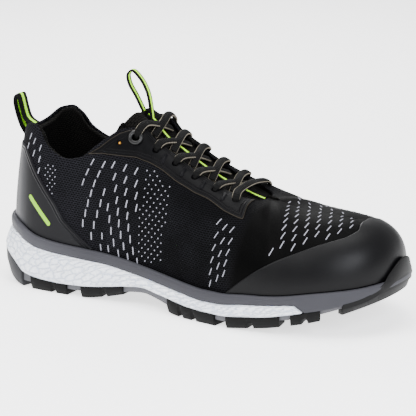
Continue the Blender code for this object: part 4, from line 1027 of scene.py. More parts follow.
def paintedBar():
    # one plain rounded bar printed on the outer side of the heel, along its slant
    tree = faceTree(heelCounter)
    start, end = Vector(printedBar["start"]), Vector(printedBar["end"])
    way = (end - start).normalized()
    grid = []
    for part in np.linspace(0, 1, 40):
        centre = start.lerp(end, part)
        tip = min(part, 1 - part) * (end - start).length
        half = printedBar["half"] * math.sqrt(max(0.0, 1 - max(0.0, 1 - tip / printedBar["half"]) ** 2))
        _spot, normal, _index, _far = tree.find_nearest(centre)
        across = normal.cross(way).normalized()
        line = []
        for off in np.linspace(-1, 1, 9):
            spot, face, _index, _far = tree.find_nearest(centre + across * half * off)
            line.append(spot + face * (0.0001 + 0.00012 * (1 - off ** 4)))
        grid.append([tuple(point) for point in line])
    grid = np.array(grid)
    u, v = gridLengths(grid)
    under = grid - np.array([0.0, -0.0002, 0.0])
    uv = np.stack([u, v], axis=-1)
    rim = np.stack([borderOf(grid), borderOf(under)])
    rimUv = np.zeros(rim.shape[:2] + (2,))
    return meshFromSheets("paintedBar", [(grid, uv, 0), (under, uv, 0), (rim, rimUv, 0)], [limePrint])


ridePiece(paintedBar(), "lime_webbing")
spot, normal = punchedHole
bpy.ops.mesh.primitive_uv_sphere_add(segments=20, ring_count=12, radius=0.0008,
                                     location=spot - normal * 0.0012)
plug = bpy.context.object
plug.name = "amberPlug"
bpy.ops.object.transform_apply(location=True, rotation=True, scale=True)
bpy.ops.object.shade_smooth()
plug.data.materials.append(amberPlug)
ridePiece(plug, "film")
print("eyelets made")


# The tongue: a soft pad with a free top and two humps

tongueTable = {
    "share": (0.385, 0.41, 0.45, 0.50, 0.56, 0.62, 0.67, 0.72, 0.765, 0.80),
    "lift":  (0.0042, 0.0028, 0.0012, 0.0008, 0.0008, 0.0008, 0.0006, 0.0003, 0.0, 0.0),
    "rows": (0.74, 0.83, 0.92, 1.0), "arch": (0.25, 0.5, 0.75),
    "top": ((1.0, 0.88, 0.001), (0.5, 0.93, 0.0005)), "stand": 0.0095, "pad": 0.0085, "thin": 0.0040,
    "hump": 0.0040, "seam": 0.0008,
}


def refine(grid, rows, cols):
    index = np.arange(grid.shape[0], dtype=float)
    grid = hermite(index, grid, np.linspace(0, index[-1], rows), np.gradient(grid, axis=0))
    grid = np.swapaxes(grid, 0, 1)
    index = np.arange(grid.shape[0], dtype=float)
    grid = hermite(index, grid, np.linspace(0, index[-1], cols), np.gradient(grid, axis=0))
    return np.swapaxes(grid, 0, 1)


def tongueFace():
    shares = tongueTable["share"]
    sections = []
    for share, lift in zip(shares, tongueTable["lift"]):
        flanks = []
        for side in (-1, 1):
            p = -side * placeOf(share)
            rows = np.array(tongueTable["rows"])
            flanks.append(upperPoint(p, rows) - upperNormal(p, rows) * (last["wall"] + 2 * last["gap"]))
        near, far = flanks[0], flanks[1][::-1]
        middle = []
        for part in tongueTable["arch"]:
            point = near[-1] * (1 - part) + far[0] * part
            point[2] += lift * 4 * part * (1 - part)
            middle.append(point)
        sections.append(np.concatenate([near, middle, far]))
    run = sections[0][5] - sections[1][5]
    run = run / np.linalg.norm(run)
    raised = []
    for stand, narrow, droop in tongueTable["top"]:
        section = sections[0] + run * tongueTable["stand"] * stand
        section[:, 1] *= narrow
        across = np.abs(section[:, 1]) / np.abs(section[0, 1])
        section[:, 2] -= droop * across ** 2
        raised.append(section)
    return refine(np.array(raised + sections), 120, 61)


def buildTongue():
    face = tongueFace()
    normal = -np.cross(np.gradient(face, axis=1), np.gradient(face, axis=0))
    normal /= np.linalg.norm(normal, axis=2)[..., None]
    if normal[:, 30, 2].mean() < 0:
        normal = -normal
    rows = np.linspace(0, 1, len(face))[:, None]
    thick = tongueTable["pad"] + (tongueTable["thin"] - tongueTable["pad"]) * np.clip(rows / 0.35, 0, 1)
    u, v = gridLengths(face)
    away = np.minimum(np.minimum(u, u[:, -1:] - u), np.minimum(v, v[-1:] - v)) / 1000
    radius = thick / 2
    near = np.clip(1 - away / radius, 0, 1)
    inset = radius * (1 - np.sqrt(1 - near ** 2))
    y = face[..., 1] * 1000
    humps = np.exp(-((np.abs(y) - 11) / 6.5) ** 2) - 0.6 * np.exp(-(y / 3.5) ** 2)
    swell = tongueTable["hump"] * humps * (1 - ease(v, 10.0, 24.0))
    wings = (1 - ease(v, 2.0, 20.0)) * np.clip(np.abs(y) / 19, 0, 1.1) ** 2.2
    face = face + wings[..., None] * np.array([-0.008, 0.0, -0.0055])
    seam = tongueTable["seam"] * np.exp(-((v - 17) / 1.6) ** 2)
    outer = face + normal * (swell - seam - inset)[..., None]
    inner = face - normal * (thick - inset)[..., None]
    uv = np.stack([u, v], axis=-1)
    return face, normal, meshFromSheets("tonguePad", [(outer, uv, 0), (inner, uv, 0)], [lining])


tongueGrid, tongueNormal, tonguePad = buildTongue()
ridePiece(tonguePad, "lining", "tongue")
crest = tongueGrid[:, 30]
crestUp = tongueNormal[:, 30]


def crestAt(x):
    order = np.argsort(crest[:, 0])
    place = np.array([np.interp(x, crest[order, 0], crest[order, k]) for k in range(3)])
    up = np.array([np.interp(x, crest[order, 0], crestUp[order, k]) for k in range(3)])
    return place, up / np.linalg.norm(up)


print("tongue made")


# Laces, strip and loops

lace = {"width": 0.0056, "thick": 0.0017, "lift": 0.0009, "film": 0.0010, "over": 0.20, "under": 0.70,
        "stop": 0.76, "rise": 0.75, "barWidth": 0.006}


def laceTape(name, start, end, extra, rise):
    # one strand from its eyelet, over the facing and down under the other side's edge
    place, normal, share, row = start
    farShare = end[2]
    side = math.copysign(1.0, place[1])
    stand = lace["lift"] + lace["film"] + lace["thick"] / 2 + extra
    overShare = share + (farShare - share) * lace["over"]
    half, halfUp = surfacePoint((share + overShare) / 2, side, (row + 1) / 2, stand)
    over, overUp = surfacePoint(overShare, side, 1.0, stand)
    low, middleUp = crestAt((place[0] + end[0][0]) / 2)
    low = low + middleUp * (0.0022 + lace["thick"] / 2 + rise)
    under, _up = surfacePoint(share + (farShare - share) * lace["under"], -side, 1.0, 0.0)
    middle = (over + under) / 2 + middleUp * (0.0006 + rise * 0.8)
    if (middle - low) @ middleUp < 0:
        middle = low
    under = under - middleUp * (last["wall"] - lace["thick"] / 2 - last["gap"])
    under[1] *= lace["stop"]
    back = half - place
    back = back / np.linalg.norm(back)
    points = [place - normal * 0.0026 - back * 0.0002, place + normal * (stand * 0.35) + back * 0.0006,
              place * 0.62 + half * 0.38 + normal * stand * 0.66, half, over, middle, under]
    ups = [-back * 0.9 + normal * 0.4, normal - back * 0.6, normal - back * 0.15,
           halfUp, overUp, middleUp, middleUp]
    widths = [0.0026, 0.0034, 0.0050] + [lace["width"]] * 4
    return tapePiece(name, points, ups, widths, lace["thick"], laceCord, 70, relax=40)


for k in range(eyelets["count"] - 1):
    extra = 0.0008 if k == 0 else 0.0
    number = str(k + 1)
    rise = lace["thick"] * lace["rise"]
    below = laceTape("laceUnder" + number, nearEyelets[k], farEyelets[k + 1], extra, 0.0)
    above = laceTape("laceOver" + number, farEyelets[k], nearEyelets[k + 1], extra, rise)
    ridePiece(below, "lace_cord", "lace_crossing_" + number)
    ridePiece(above, "lace_cord")


def laceBar():
    # the straight bar at the bottom, from one last eyelet to the other
    stand = lace["lift"] + lace["film"] + lace["thick"] / 2
    points, ups = [], []
    for eyelet, side in ((nearEyelets[-1], -1.0), (farEyelets[-1], 1.0)):
        place, normal, share, row = eyelet
        half, halfUp = surfacePoint(share, side, (row + 1) / 2, stand)
        over, overUp = surfacePoint(share, side, 1.0, stand)
        run = [place - normal * 0.0016, place + normal * stand * 0.6, half, over]
        way = [normal, normal, halfUp, overUp]
        order = slice(None, None, -int(side))
        points += run[order]
        ups += way[order]
    up = (ups[3] + ups[4]) / 2
    points.insert(4, (points[3] + points[4]) / 2 + up * lace["thick"] * 1.2)
    ups.insert(4, up)
    widths = [0.0036, 0.0050] + [lace["barWidth"]] * 5 + [0.0050, 0.0036]
    return tapePiece("laceBar", points, ups, widths, lace["thick"], laceCord, 80, relax=30)


ridePiece(laceBar(), "lace_cord", "lace_bar")

webStrip = {"end": 0.668, "width": 0.0050, "thick": 0.0010, "lift": 0.0008}
stripEnd = (webStrip["end"] - last["origin"]) * last["length"]
keep = [i for i in range(14, len(crest)) if crest[i, 0] < stripEnd]
stripPath = (crest[keep] + crestUp[keep] * webStrip["lift"])[::3]
strip = tapePiece("tongueStrip", stripPath, crestUp[keep][::3], [webStrip["width"]] * len(stripPath),
                  webStrip["thick"], loopWebbing, 90)
ridePiece(strip, "lime_webbing", "tongue_strip")


tongueLoopShape = {
    "x": (-0.15, -0.60, -1.05, -1.12, -0.86, -0.30, 0.12, 0.30, 0.38),
    "z": (0.02, 0.40, 0.70, 0.90, 1.00, 0.82, 0.52, 0.20, 0.01),
    "reach": 0.012, "height": 0.029, "width": 0.0056,
}
heelLoopShape = {
    "x": (-0.80, -1.12, -1.22, -1.16, -1.02, -0.90, -0.74, -0.52),
    "z": (-0.20, 0.38, 0.74, 0.94, 1.00, 0.84, 0.44, 0.08),
    "reach": 0.012, "height": 0.018, "width": 0.0115,
}


def loopPoints(base, shape):
    # the middle line of a pull loop in the side view, from its foot's place
    return [np.array([base[0] + shape["reach"] * a, 0.0, base[2] + shape["height"] * b])
            for a, b in zip(shape["x"], shape["z"])]


def standingLoop(name, points, width, finish):
    path, _at = smoothPath(points, 90)
    tangent = np.gradient(path, axis=0)
    ups = np.stack([-tangent[:, 2], np.zeros(len(path)), tangent[:, 0]], axis=1)
    ups /= np.linalg.norm(ups, axis=1)[:, None]
    return tapePiece(name, path, ups, [width] * len(path), 0.0014, finish, 90, 0.1)


points = loopPoints(crest[11], tongueLoopShape)
for end in (0, -1):
    seat, up = crestAt(points[end][0])
    points[end] = seat + up * 0.0004
tongueLoop = standingLoop("tonguePullLoop", points, tongueLoopShape["width"], loopWebbing)
ridePiece(tongueLoop, "lime_webbing", "tongue_pull_loop")

profile = upperPoint(0.0, np.linspace(0, 1, 81))
rim = profile[-1]
seat = last["collarHeight"] * 0.830 + 0.0006
back = np.interp(seat, profile[:, 2], profile[:, 0]) - 0.0016
points = [np.array([back, 0.0, seat])] + loopPoints(rim, heelLoopShape)
points.append(rim - upperNormal(0.0, 1.0) * wallOf(0.0, 1.0) * 0.45)
heelLoop = standingLoop("heelPullLoop", points, heelLoopShape["width"], heelWebbing)
ridePiece(heelLoop, "lime_webbing", "heel_pull_loop")
print("laces and loops made")


# The sole

ringColumns = np.concatenate([-np.linspace(0, 1, 301)[:0:-1], np.linspace(0, 1, 301)])


def capSheet(border, rows=7):
    # from a ring of points in to the middle line between its two sides
    middle = (border + border[::-1]) / 2
    parts = np.linspace(0, 1, rows)[:, None, None]
    return border * (1 - parts) + middle * parts


def ringSheets(rings, slot=0):
    # sheets of a closed ring body, its ends closed over by caps
    side = np.array(rings)
    caps = [capSheet(side[0]), capSheet(side[-1])]
    sheets = []
    for grid in [side] + caps:
        u, v = gridLengths(grid)
        sheets.append((grid, np.stack([u, v], axis=-1), slot))
    return sheets


rand = {"swell": 0.0004, "round": 0.0013, "lip": 0.0026}


def buildFrame():
    # the grey rand with the tray that holds the upper
    p = ringColumns
    share, _side = around(p)
    band = level("band", share)
    face = -flare(share)
    under = trayUnder(share)
    deep = band - under
    rings = [ring(p, face - 0.0004, under), ring(p, face, under + 0.0004)]
    for part in (0.2, 0.35, 0.5, 0.65, 0.8):
        rings.append(ring(p, face + rand["swell"] * math.sin(math.pi * part), under + deep * part))
    for turn in np.radians([15, 35, 55, 75, 90]):
        inset, drop = rand["round"] * (1 - math.cos(turn)), rand["round"] * (1 - math.sin(turn))
        rings.append(ring(p, face - inset, band - drop))
    rings += [ring(p, face - rand["lip"], band), ring(p, face - 0.0031, band - 0.0004),
              ring(p, face - last["trayWall"], band - 0.0009),
              ring(p, face - last["trayWall"], level("foamTop", share) + last["trayFloor"])]
    return meshFromSheets("soleFrame", ringSheets(rings), [randRubber], angle=45)


def pebbles(u, v, size, seed):
    # height of pressed beads over a strip of (u, v) in millimetres: 1 in a bead's middle, 0 in its seams
    rng = np.random.default_rng(seed)
    cols = int(u.max() / size) + 3
    rows = int(v.max() / size) + 4
    seeds = KDTree(cols * rows)
    for i in range(cols):
        for j in range(rows):
            jitter = rng.uniform(-0.42, 0.42, 2)
            x = (i - 0.5 + (j % 2) * 0.5 + jitter[0]) * size
            seeds.insert((x, (j - 1.5 + jitter[1]) * size, 0), i * rows + j)
    seeds.balance()
    gap = np.empty(u.shape)
    for index in np.ndindex(u.shape):
        found = seeds.find_n((u[index], v[index], 0), 2)
        gap[index] = found[1][2] - found[0][2]
    return ease(gap, 0.0, size * 0.42)


foam = {"bead": 4.6, "beadHeight": 0.00042, "bulge": 0.0006, "seed": 11}


def buildFoam():
    # the white wedge: a bulging side with raised beads, and a slanted front end
    end = placeOf(foamSlant[1])
    p = np.linspace(-end, end, 761)
    share, _side = around(p)
    low = level("foamLow", share)
    deep = trayUnder(share) - last["gap"] - low
    parts = np.concatenate([[0, 0.015, 0.05], np.linspace(0.1, 0.92, 22), [0.96, 0.985, 1.0]])
    bulge = foam["bulge"] * curveThrough((0, 0.3, 0.7, 1.0), (-1.0, 1.0, 1.0, 0.0), parts)
    lean = np.interp(parts, (0, 0.3, 0.7, 1.0), (0.0, 0.25, 0.70, 1.0))
    side = np.array([ring(p, b - flare(share) * t, low + deep * q) for q, b, t in zip(parts, bulge, lean)])
    u, v = gridLengths(side)
    beads = pebbles(np.broadcast_to(u[12], u.shape), v, foam["bead"], foam["seed"])
    fade = ease(parts, 0.0, 0.08) * (1 - ease(parts, 0.90, 1.0))
    ahead = np.gradient(side, axis=1)
    normal = np.cross(ahead, np.gradient(side, axis=0))
    normal /= np.linalg.norm(normal, axis=2)[..., None]
    outwards = np.sign((normal[..., :2] * (side[..., :2] - np.array([0.1, 0.0]))).sum(axis=-1).mean())
    side = side + normal * (outwards * foam["beadHeight"] * (beads - 0.7) * fade[:, None])[..., None]
    sheets = []
    caps = [capSheet(side[0]), capSheet(side[-1])]
    bottom = np.concatenate([caps[0][:, -1], caps[0][:-1, 0][::-1]])
    top = np.concatenate([caps[1][:, -1], caps[1][:-1, 0][::-1]])
    climb = parts[:, None, None]
    front = bottom[None] * (1 - climb) + top[None] * climb
    front[:, 0] = side[:, -1]
    front[:, -1] = side[:, 0]
    for grid in [side] + caps + [front]:
        lengths = gridLengths(grid)
        sheets.append((grid, np.stack(lengths, axis=-1), 0))
    return meshFromSheets("soleFoam", sheets, [foamWhite], angle=50)


def buildPlate():
    p = ringColumns
    share, _side = around(p)
    plate, top = level("plate", share), level("foamLow", share) - last["gap"]
    rings = [ring(p, -0.0030, plate), ring(p, -0.0026, plate + 0.0004), ring(p, -0.0026, (plate + top) / 2),
             ring(p, -0.0026, top)]
    return meshFromSheets("soleBase", ringSheets(rings), [shankRubber], angle=40)


def buildInsole():
    p = ringColumns
    share, _side = around(p)
    inset = -(last["trayWall"] + 2 * last["gap"] + last["wall"]) - flare(share)
    floor = level("foamTop", share) + last["trayFloor"] + last["gap"]
    rings = [ring(p, inset, floor), ring(p, inset, floor + 0.0030), ring(p, inset - 0.0006, floor + 0.0038),
             ring(p, inset - 0.0012, floor + 0.0040)]
    return meshFromSheets("insoleBoard", ringSheets(rings), [insoleFabric], angle=50)


ridePiece(buildFrame(), "grey_rubber", "midsole_frame")
ridePiece(buildFoam(), "white_foam", "midsole_foam")
ridePiece(buildPlate(), "grey_rubber", "outsole_base")
ridePiece(buildInsole(), "lining", "insole")
print("sole made")

block = {"reach": 0.015, "taper": 0.0024, "inset": 0.0004, "waist": 0.0006, "notchDepth": 0.0026,
         "notchWaist": 0.0012, "notchFoot": 0.0045, "notchShare": 0.007, "plate": 0.0026}


def inwards(p, offset):
    # where the moved outline lies along the sole, as shares of its length
    return ring(p, offset, 0.0)[..., 0] / last["length"] + last["origin"]


def easeCorners(piece, width):
    applyModifier(piece, "BEVEL", {"width": width, "segments": 2, "limit_method": "ANGLE",
                                   "angle_limit": math.radians(38), "use_clamp_overlap": True})
    piece.data.shade_smooth()
    piece.data.set_sharp_from_angle(angle=math.radians(42))


def sweepBlock(name, rings, finish, soft=0.0005):
    # a block through its section's points along the edge, with flat ends and eased corners
    grid = np.array(rings + rings[:1])
    u, v = gridLengths(grid)
    ends = []
    for end in (0, -1):
        section = grid[:-1, end]
        middle = np.broadcast_to(section.mean(axis=0), grid[:, end].shape)
        ends.append((np.stack([grid[:, end], middle], axis=1), np.zeros(grid[:, end].shape[:1] + (2, 2)), 0))
    piece = meshFromSheets(name, [(grid, np.stack([u, v], axis=-1), 0)] + ends, [finish])
    shape = bmesh.new()
    shape.from_mesh(piece.data)
    bmesh.ops.dissolve_limit(shape, angle_limit=math.radians(1.5), verts=shape.verts, edges=shape.edges)
    shape.to_mesh(piece.data)
    shape.free()
    easeCorners(piece, soft)
    return piece


def wrappingBlock(name, p, notched, finish):
    share, _side = around(p)
    tread = level("tread", share)
    plate = level("plate", share) - last["gap"]
    top = level("foamLow", share) - last["gap"]
    inner = -block["plate"] + last["gap"]
    innerTop = level("foamLow", inwards(p, 0.0006 + inner)) - last["gap"]
    reached = inwards(p, -block["reach"])
    rings = [
        ring(p, -block["inset"], top),
        ring(p, -block["waist"] - block["notchWaist"] * notched, (tread + top) / 2),
        ring(p, -block["taper"] - block["notchFoot"] * notched, tread + block["notchDepth"] * notched),
        ring(p, -block["reach"], level("tread", reached)),
        ring(p, -block["reach"], level("plate", reached) - last["gap"]),
        ring(p, inner, plate),
        ring(p, inner, innerTop),
    ]
    return sweepBlock(name, rings, finish)


sideBlocks = {
    "heel": ((0.125, 0.225, (0.188,)), (0.265, 0.375, (0.325,))),
    "ball": ((0.500, 0.630, (0.535, 0.572)), (0.662, 0.790, (0.722,)), (0.815, 0.878, (0.846,))),
}
for word, side in (("lateral", -1), ("medial", 1)):
    for place, blocks in sideBlocks.items():
        for number, (start, end, notches) in enumerate(blocks, 1):
            shares = [np.linspace(start, end, 44)]
            shares += [notch + block["notchShare"] * np.array([-1, 0, 1]) for notch in notches]
            shares = np.unique(np.concatenate(shares))
            notched = np.zeros(len(shares))
            for notch in notches:
                notched = np.maximum(notched, np.clip(1 - np.abs(shares - notch) / block["notchShare"], 0, 1))
            p = np.array([-side * placeOf(share) for share in shares])
            node = "_".join((place, "block", word, str(number)))
            piece = wrappingBlock(place + "Block" + word.capitalize() + str(number), p, notched, treadRubber)
            ridePiece(piece, "black_rubber", node)
reach = placeOf(0.096)
p = np.linspace(-reach, reach, 61)
ridePiece(wrappingBlock("heelBlockRear", p, np.zeros(len(p)), heelRubber), "black_rubber", "heel_block_rear")


bumper = {"start": 0.9209, "low": 0.0012, "high": 0.0170, "rise": 6.0, "proud": 0.0008, "lean": 0.0020}


def buildBumper():
    # the toe block with its bumper, which climbs over the rand at the tip
    start = placeOf(bumper["start"])
    p = np.linspace(start, 2 - start, 81)
    share, _side = around(p)
    tread = level("tread", share)
    plate = level("plate", share) - last["gap"]
    low = level("foamLow", share) - last["gap"]
    way = np.clip((share - 0.900) / 0.100, 0, 1)
    top = low + bumper["low"] + (bumper["high"] - bumper["low"]) * way ** bumper["rise"]
    band = level("band", share)
    knee = np.minimum(top - 0.0006, band + last["gap"])
    lean = np.clip((top - band) / 0.0040, 0, 1) * bumper["lean"]
    proud = bumper["proud"] * np.clip(way * 3, 0.2, 1)
    inner = -block["plate"] + last["gap"]
    reached = inwards(p, -block["reach"])
    rings = [
        ring(p, proud - 0.0006 - lean / 2, top),
        ring(p, proud, tread * 0.4 + top * 0.6),
        ring(p, -block["taper"], tread),
        ring(p, -block["reach"], level("tread", reached)),
        ring(p, -block["reach"], level("plate", reached) - last["gap"]),
        ring(p, inner, plate),
        ring(p, inner, level("foamLow", inwards(p, inner)) - last["gap"]),
        ring(p, last["gap"], low),
        ring(p, last["gap"], knee),
        ring(p, last["gap"] - lean, top),
    ]
    return sweepBlock("toeBumper", rings, bumperRubber, 0.0003)


ridePiece(buildBumper(), "black_rubber", "toe_block")


def easedCopy(node, name, finish):
    # a bar of the tread, copied from its solid, with eased corners
    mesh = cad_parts[node].data.copy()
    piece = bpy.data.objects.new(name, mesh)
    bpy.context.scene.collection.objects.link(piece)
    shape = bmesh.new()
    shape.from_mesh(mesh)
    bmesh.ops.remove_doubles(shape, verts=shape.verts, dist=1e-6)
    bmesh.ops.dissolve_limit(shape, angle_limit=math.radians(2), verts=shape.verts, edges=shape.edges)
    bmesh.ops.recalc_face_normals(shape, faces=shape.faces)
    shape.to_mesh(mesh)
    shape.free()
    mesh.materials.clear()
    mesh.materials.append(finish)
    easeCorners(piece, 0.0006)
    return ridePiece(piece, "black_rubber", node)


for place, count in (("heel", 3), ("ball", 6)):
    for number in range(1, count + 1):
        easedCopy(place + "_bar_" + str(number), place + "Bar" + str(number), treadRubber)
print("tread made")


# Yarn floats: light dashes and dots knitted into the upper, laid from a chart

dashChart = (    # columns on the outer side, in the side view in millimetres, and their dash size
    ("quarter", ((36.7, 98.3), (33, 91.9), (30.1, 84.5), (26.9, 77.1)), 5.4, 1.25),
    ("quarter", ((45.3, 97.6), (37.9, 82.6), (32.9, 68.4), (27.7, 48.7)), 5.8, 1.35),
    ("quarter", ((46, 79.6), (41.9, 66.6), (37.5, 52.8), (34.3, 40.3)), 5.8, 1.35),
    ("quarter", ((47.2, 69.8), (48.7, 62), (50, 53.6), (51.3, 45.9), (54.1, 38.3), (58.7, 31.5)), 5.8, 1.3),
    ("quarter", ((44.3, 49.5), (43.5, 44.3), (42.6, 38.1), (42.8, 33)), 5.0, 1.2),
    ("quarter", ((46.6, 40.5), (50.4, 33.9)), 5.0, 1.2),
    ("quarter", ((50.3, 98.7), (52.9, 83.9), (55.3, 68), (57.3, 51.3), (62, 36.2), (66.3, 30.4)), 5.8, 1.35),
    ("quarter", ((59.3, 97.6), (60.9, 82), (62.7, 66), (65, 49.3), (69.6, 34.2), (74.3, 28.5)), 5.8, 1.35),
    ("quarter", ((67.5, 96.2), (69.2, 80.1), (70.5, 64.2)), 5.8, 1.35),
    ("narrow", ((133.2, 71.5), (133.5, 58.2), (132.6, 44.7), (131.5, 29.6), (133, 24.1)), 5.4, 1.0),
    ("narrow", ((138.2, 68.9), (138.8, 56.9), (137.8, 43.3), (137.3, 28.3)), 5.4, 1.0),
    ("narrow", ((143.6, 67.5), (144.6, 55.7), (142.8, 41.7), (142.1, 32.9)), 5.4, 1.0),
    ("heel", ((-16.2, 109.1), (-18.1, 103.9), (-20.9, 95.1)), 5.2, 1.1),
    ("heel", ((-13, 107.1), (-13.9, 98.6), (-13.6, 90.4)), 5.2, 1.1),
    ("heel", ((-7.5, 103), (-8.4, 95.9), (-8.9, 87.1), (-9, 79.2)), 5.2, 1.1),
)
toeChart = (     # columns over the toe, as places on the upper in millimetres
    ((172.7, -39.9, 57.6), (173.6, -44.7, 50)),
    ((163.5, 6, 74.5), (173.5, -18.8, 70.8), (178.1, -33.9, 62.6), (180.1, -40.3, 56)),
    ((161.2, 24, 72.1), (170.8, 3.8, 72.6), (179.8, -17.1, 70), (185.9, -33.8, 60.8), (187.8, -39.4, 54.7)),
    ((173.3, 15.1, 72.1), (183, -6, 71.3), (191.2, -26.7, 64.5), (193.8, -34.1, 58.8)),
    ((180.8, 16.4, 70.9), (191.6, -7.9, 70.4), (199.2, -27.6, 62.9)),
    ((189.8, 14, 70.4), (200.4, -10.2, 69.3), (206.7, -26.8, 61.5)),
    ((198.9, 11.9, 70), (208.5, -11.4, 68), (211.6, -19.8, 64.3)),
    ((207.7, 6.5, 69.3), (212.4, -2.1, 68.9), (216.4, -11.9, 66.4)),
)
dotFields = (    # outline in the side view and the lattice's step, in millimetres
    (((-5.3, 88.9), (7.1, 90.6), (6.2, 75.4), (3.1, 64.6), (-2.2, 74.2)), 4.2, 1.05),
    (((73, 98.7), (94.5, 84), (96.6, 72.9), (93.4, 60), (92.9, 35), (78.2, 30.4), (72.4, 39.8), (70.5, 53.2),
      (74.8, 82.5)), 5.1, 1.15),
)
# the dashes' lean in degrees at a low and at a high place, each as (height, lean)
turnChart = {"quarter": ((28, -12), (98, 27)), "narrow": ((24, 14), (70, 28)), "heel": ((78, 14), (110, 26))}
floats = {"thick": 0.00022, "toeThick": 0.0002, "toePitch": 0.0072, "toeWidth": 0.0011, "toeRoom": 0.0058}


def evenly(points, pitch):
    # places along a run, as near the pitch as a whole number of them allows
    points = np.asarray(points, dtype=float)
    run = np.concatenate([[0], np.cumsum(np.linalg.norm(np.diff(points, axis=0), axis=1))])
    count = max(1, round(run[-1] / pitch))
    at = (np.arange(count) + 0.5) * run[-1] / count
    return np.column_stack([np.interp(at, run, points[:, k]) for k in range(points.shape[1])])


def insidePoint(x, z, outlinePoints):
    xs, zs = zip(*outlinePoints)
    return bool(insideOutline(np.array([[x]]), np.array([[z]]), xs, zs)[0, 0])


def buildFloats():
    tree = faceTree(upperShell)
    dashes, dots = bmesh.new(), bmesh.new()
    for side in (-1, 1):
        for kind, points, length, width in dashChart:
            (lowAt, lowTurn), (highAt, highTurn) = turnChart[kind]
            for x, z in evenly(points, 8.0 if kind == "quarter" else 7.4):
                lean = math.radians(np.interp(z, (lowAt, highAt), (lowTurn, highTurn)))
                spot, normal = sideHit(tree, x / 1000, z / 1000, side)
                if spot is None:
                    continue
                way = Vector((math.sin(lean), 0, math.cos(lean)))
                floatMark(dashes, tree, spot, normal, way, length / 1000, width / 1000, floats["thick"])
        for points, step, size in dotFields:
            xs, zs = zip(*points)
            row = 0
            z = min(zs)
            while z < max(zs):
                x = min(xs) + (step / 2 if row % 2 else 0)
                while x < max(xs):
                    if insidePoint(x, z, points):
                        spot, normal = sideHit(tree, x / 1000, z / 1000, side)
                        if spot is not None:
                            way, across = Vector((0.3, 0, 1)), size / 1000
                            floatMark(dots, tree, spot, normal, way, across, across, floats["thick"])
                    x += step
                z += step * 0.56
                row += 1
    # rows over the toe: the charted ones first, then their mirror images where there is room
    runs, mirrored, placed = [], [], []
    for points in toeChart:
        points = np.array(points) / 1000
        points = points[np.argsort(-points[:, 1])]
        middle = 0.003 + 0.05 * (points[:, 0].mean() - 0.15)
        other = points[::-1] * [1, -1, 1] + [0, 2 * middle, 0]
        runs.append((middle, points))
        other = other[other[:, 1] > middle + 0.005]
        if len(other) > 1:
            mirrored.append((middle, other[np.argsort(-other[:, 1])]))
    for middle, points in runs + mirrored:
        run = evenly(points, floats["toePitch"])
        aheads = np.gradient(run, axis=0) if len(run) > 1 else [points[-1] - points[0]]
        for (x, y, z), ahead in zip(run, aheads):
            out = Vector((0, y - middle, z - 0.035)).normalized() * 0.004
            spot, normal, _index, _far = tree.find_nearest(Vector((x, y, z)) + out)
            if any((spot - other).length < floats["toeRoom"] for other in placed):
                continue
            placed.append(spot)
            side = -1 if y < middle else 1
            way = Vector(side * ahead).normalized() + Vector((0.42, 0, 0))
            long = float(np.interp(abs(y - middle), (0.002, 0.022), (0.0036, 0.0062)))
            floatMark(dashes, tree, spot, normal, way, long, floats["toeWidth"], floats["toeThick"])
    for name, shape in (("yarnDashes", dashes), ("yarnDots", dots)):
        piece = pieceFromShape(name, shape, yarnGrey)
        piece.data.set_sharp_from_angle(angle=math.radians(50))
        ridePiece(piece, "knit")


buildFloats()
print("yarn floats made")


# The camera, the light and the floor

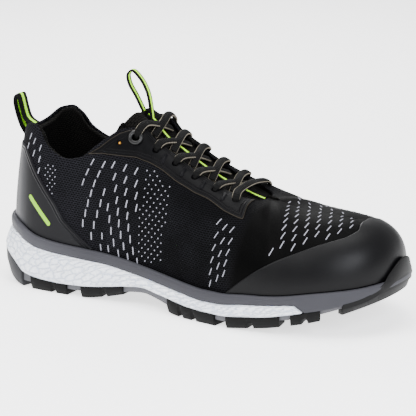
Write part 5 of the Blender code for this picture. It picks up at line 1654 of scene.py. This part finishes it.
view = {   # angles in degrees, and how far the aim lies to the right of the middle and above it
    "target": (0.09768, 0.0, 0.050), "azimuth": 28, "elevation": 15.8, "distance": 1.5,
    "aimRight": 0.00609, "aimAbove": 0.01218, "lens": 191.9, "sensor": 36,
}
target = Vector(view["target"])
azimuth, elevation = math.radians(view["azimuth"]), math.radians(view["elevation"])
flatShare, upShare = math.cos(elevation), math.sin(elevation)
back = Vector((math.sin(azimuth) * flatShare, -math.cos(azimuth) * flatShare, upShare))
right = Vector((math.cos(azimuth), math.sin(azimuth), 0))
above = Vector((-math.sin(azimuth) * upShare, math.cos(azimuth) * upShare, flatShare))
cameraPlace = target + back * view["distance"]
aim = target + right * view["aimRight"] + above * view["aimAbove"]
lens = bpy.data.cameras.new("camera")
lens.lens = view["lens"]
lens.sensor_width = view["sensor"]
camera = bpy.data.objects.new("camera", lens)
camera.location = cameraPlace
camera.rotation_euler = (aim - cameraPlace).to_track_quat("-Z", "Y").to_euler()
bpy.context.scene.collection.objects.link(camera)
bpy.context.scene.camera = camera

floorPaint, _tree, _shader = newMaterial("floorPaint", {     # matt white paper sweep, lit from within
    "Base Color": hexColour("#fafafa"), "Roughness": 0.9,
    "Emission Color": hexColour("#ffffff"), "Emission Strength": 1.6})
bpy.ops.mesh.primitive_plane_add(size=6, location=(0, 0, 0))
floor = bpy.context.object
floor.name = "floor"
floor.data.materials.append(floorPaint)

lamps = (   # name, place, aim, size, power and colour of each soft light
    ("keyLight", (-0.35, -0.75, 0.95), (0.08, 0, 0.05), 0.7, 15.0, "#ffffff"),
    ("topLight", (0.12, 0.05, 1.15), (0.08, 0, 0.05), 0.9, 15.0, "#ffffff"),
    ("sideLight", (0.95, -0.55, 0.60), (0.10, 0, 0.05), 0.6, 15.0, "#f6f8ff"),
    ("backLight", (-0.45, 0.85, 0.70), (0.05, 0, 0.07), 0.6, 7.0, "#ffffff"),
)
for name, place, aimAt, size, power, colour in lamps:
    light = bpy.data.lights.new(name, "AREA")
    light.shape = "DISK"
    light.size = size
    light.energy = power
    light.color = hexColour(colour)[:3]
    lamp = bpy.data.objects.new(name, light)
    lamp.location = place
    lamp.rotation_euler = (Vector(aimAt) - Vector(place)).to_track_quat("-Z", "Y").to_euler()
    bpy.context.scene.collection.objects.link(lamp)

world = bpy.data.worlds.new("studio")
world.use_nodes = True
backdrop = world.node_tree.nodes["Background"]
backdrop.inputs["Color"].default_value = hexColour("#f2f2f4")
backdrop.inputs["Strength"].default_value = 0.95
bpy.context.scene.world = world
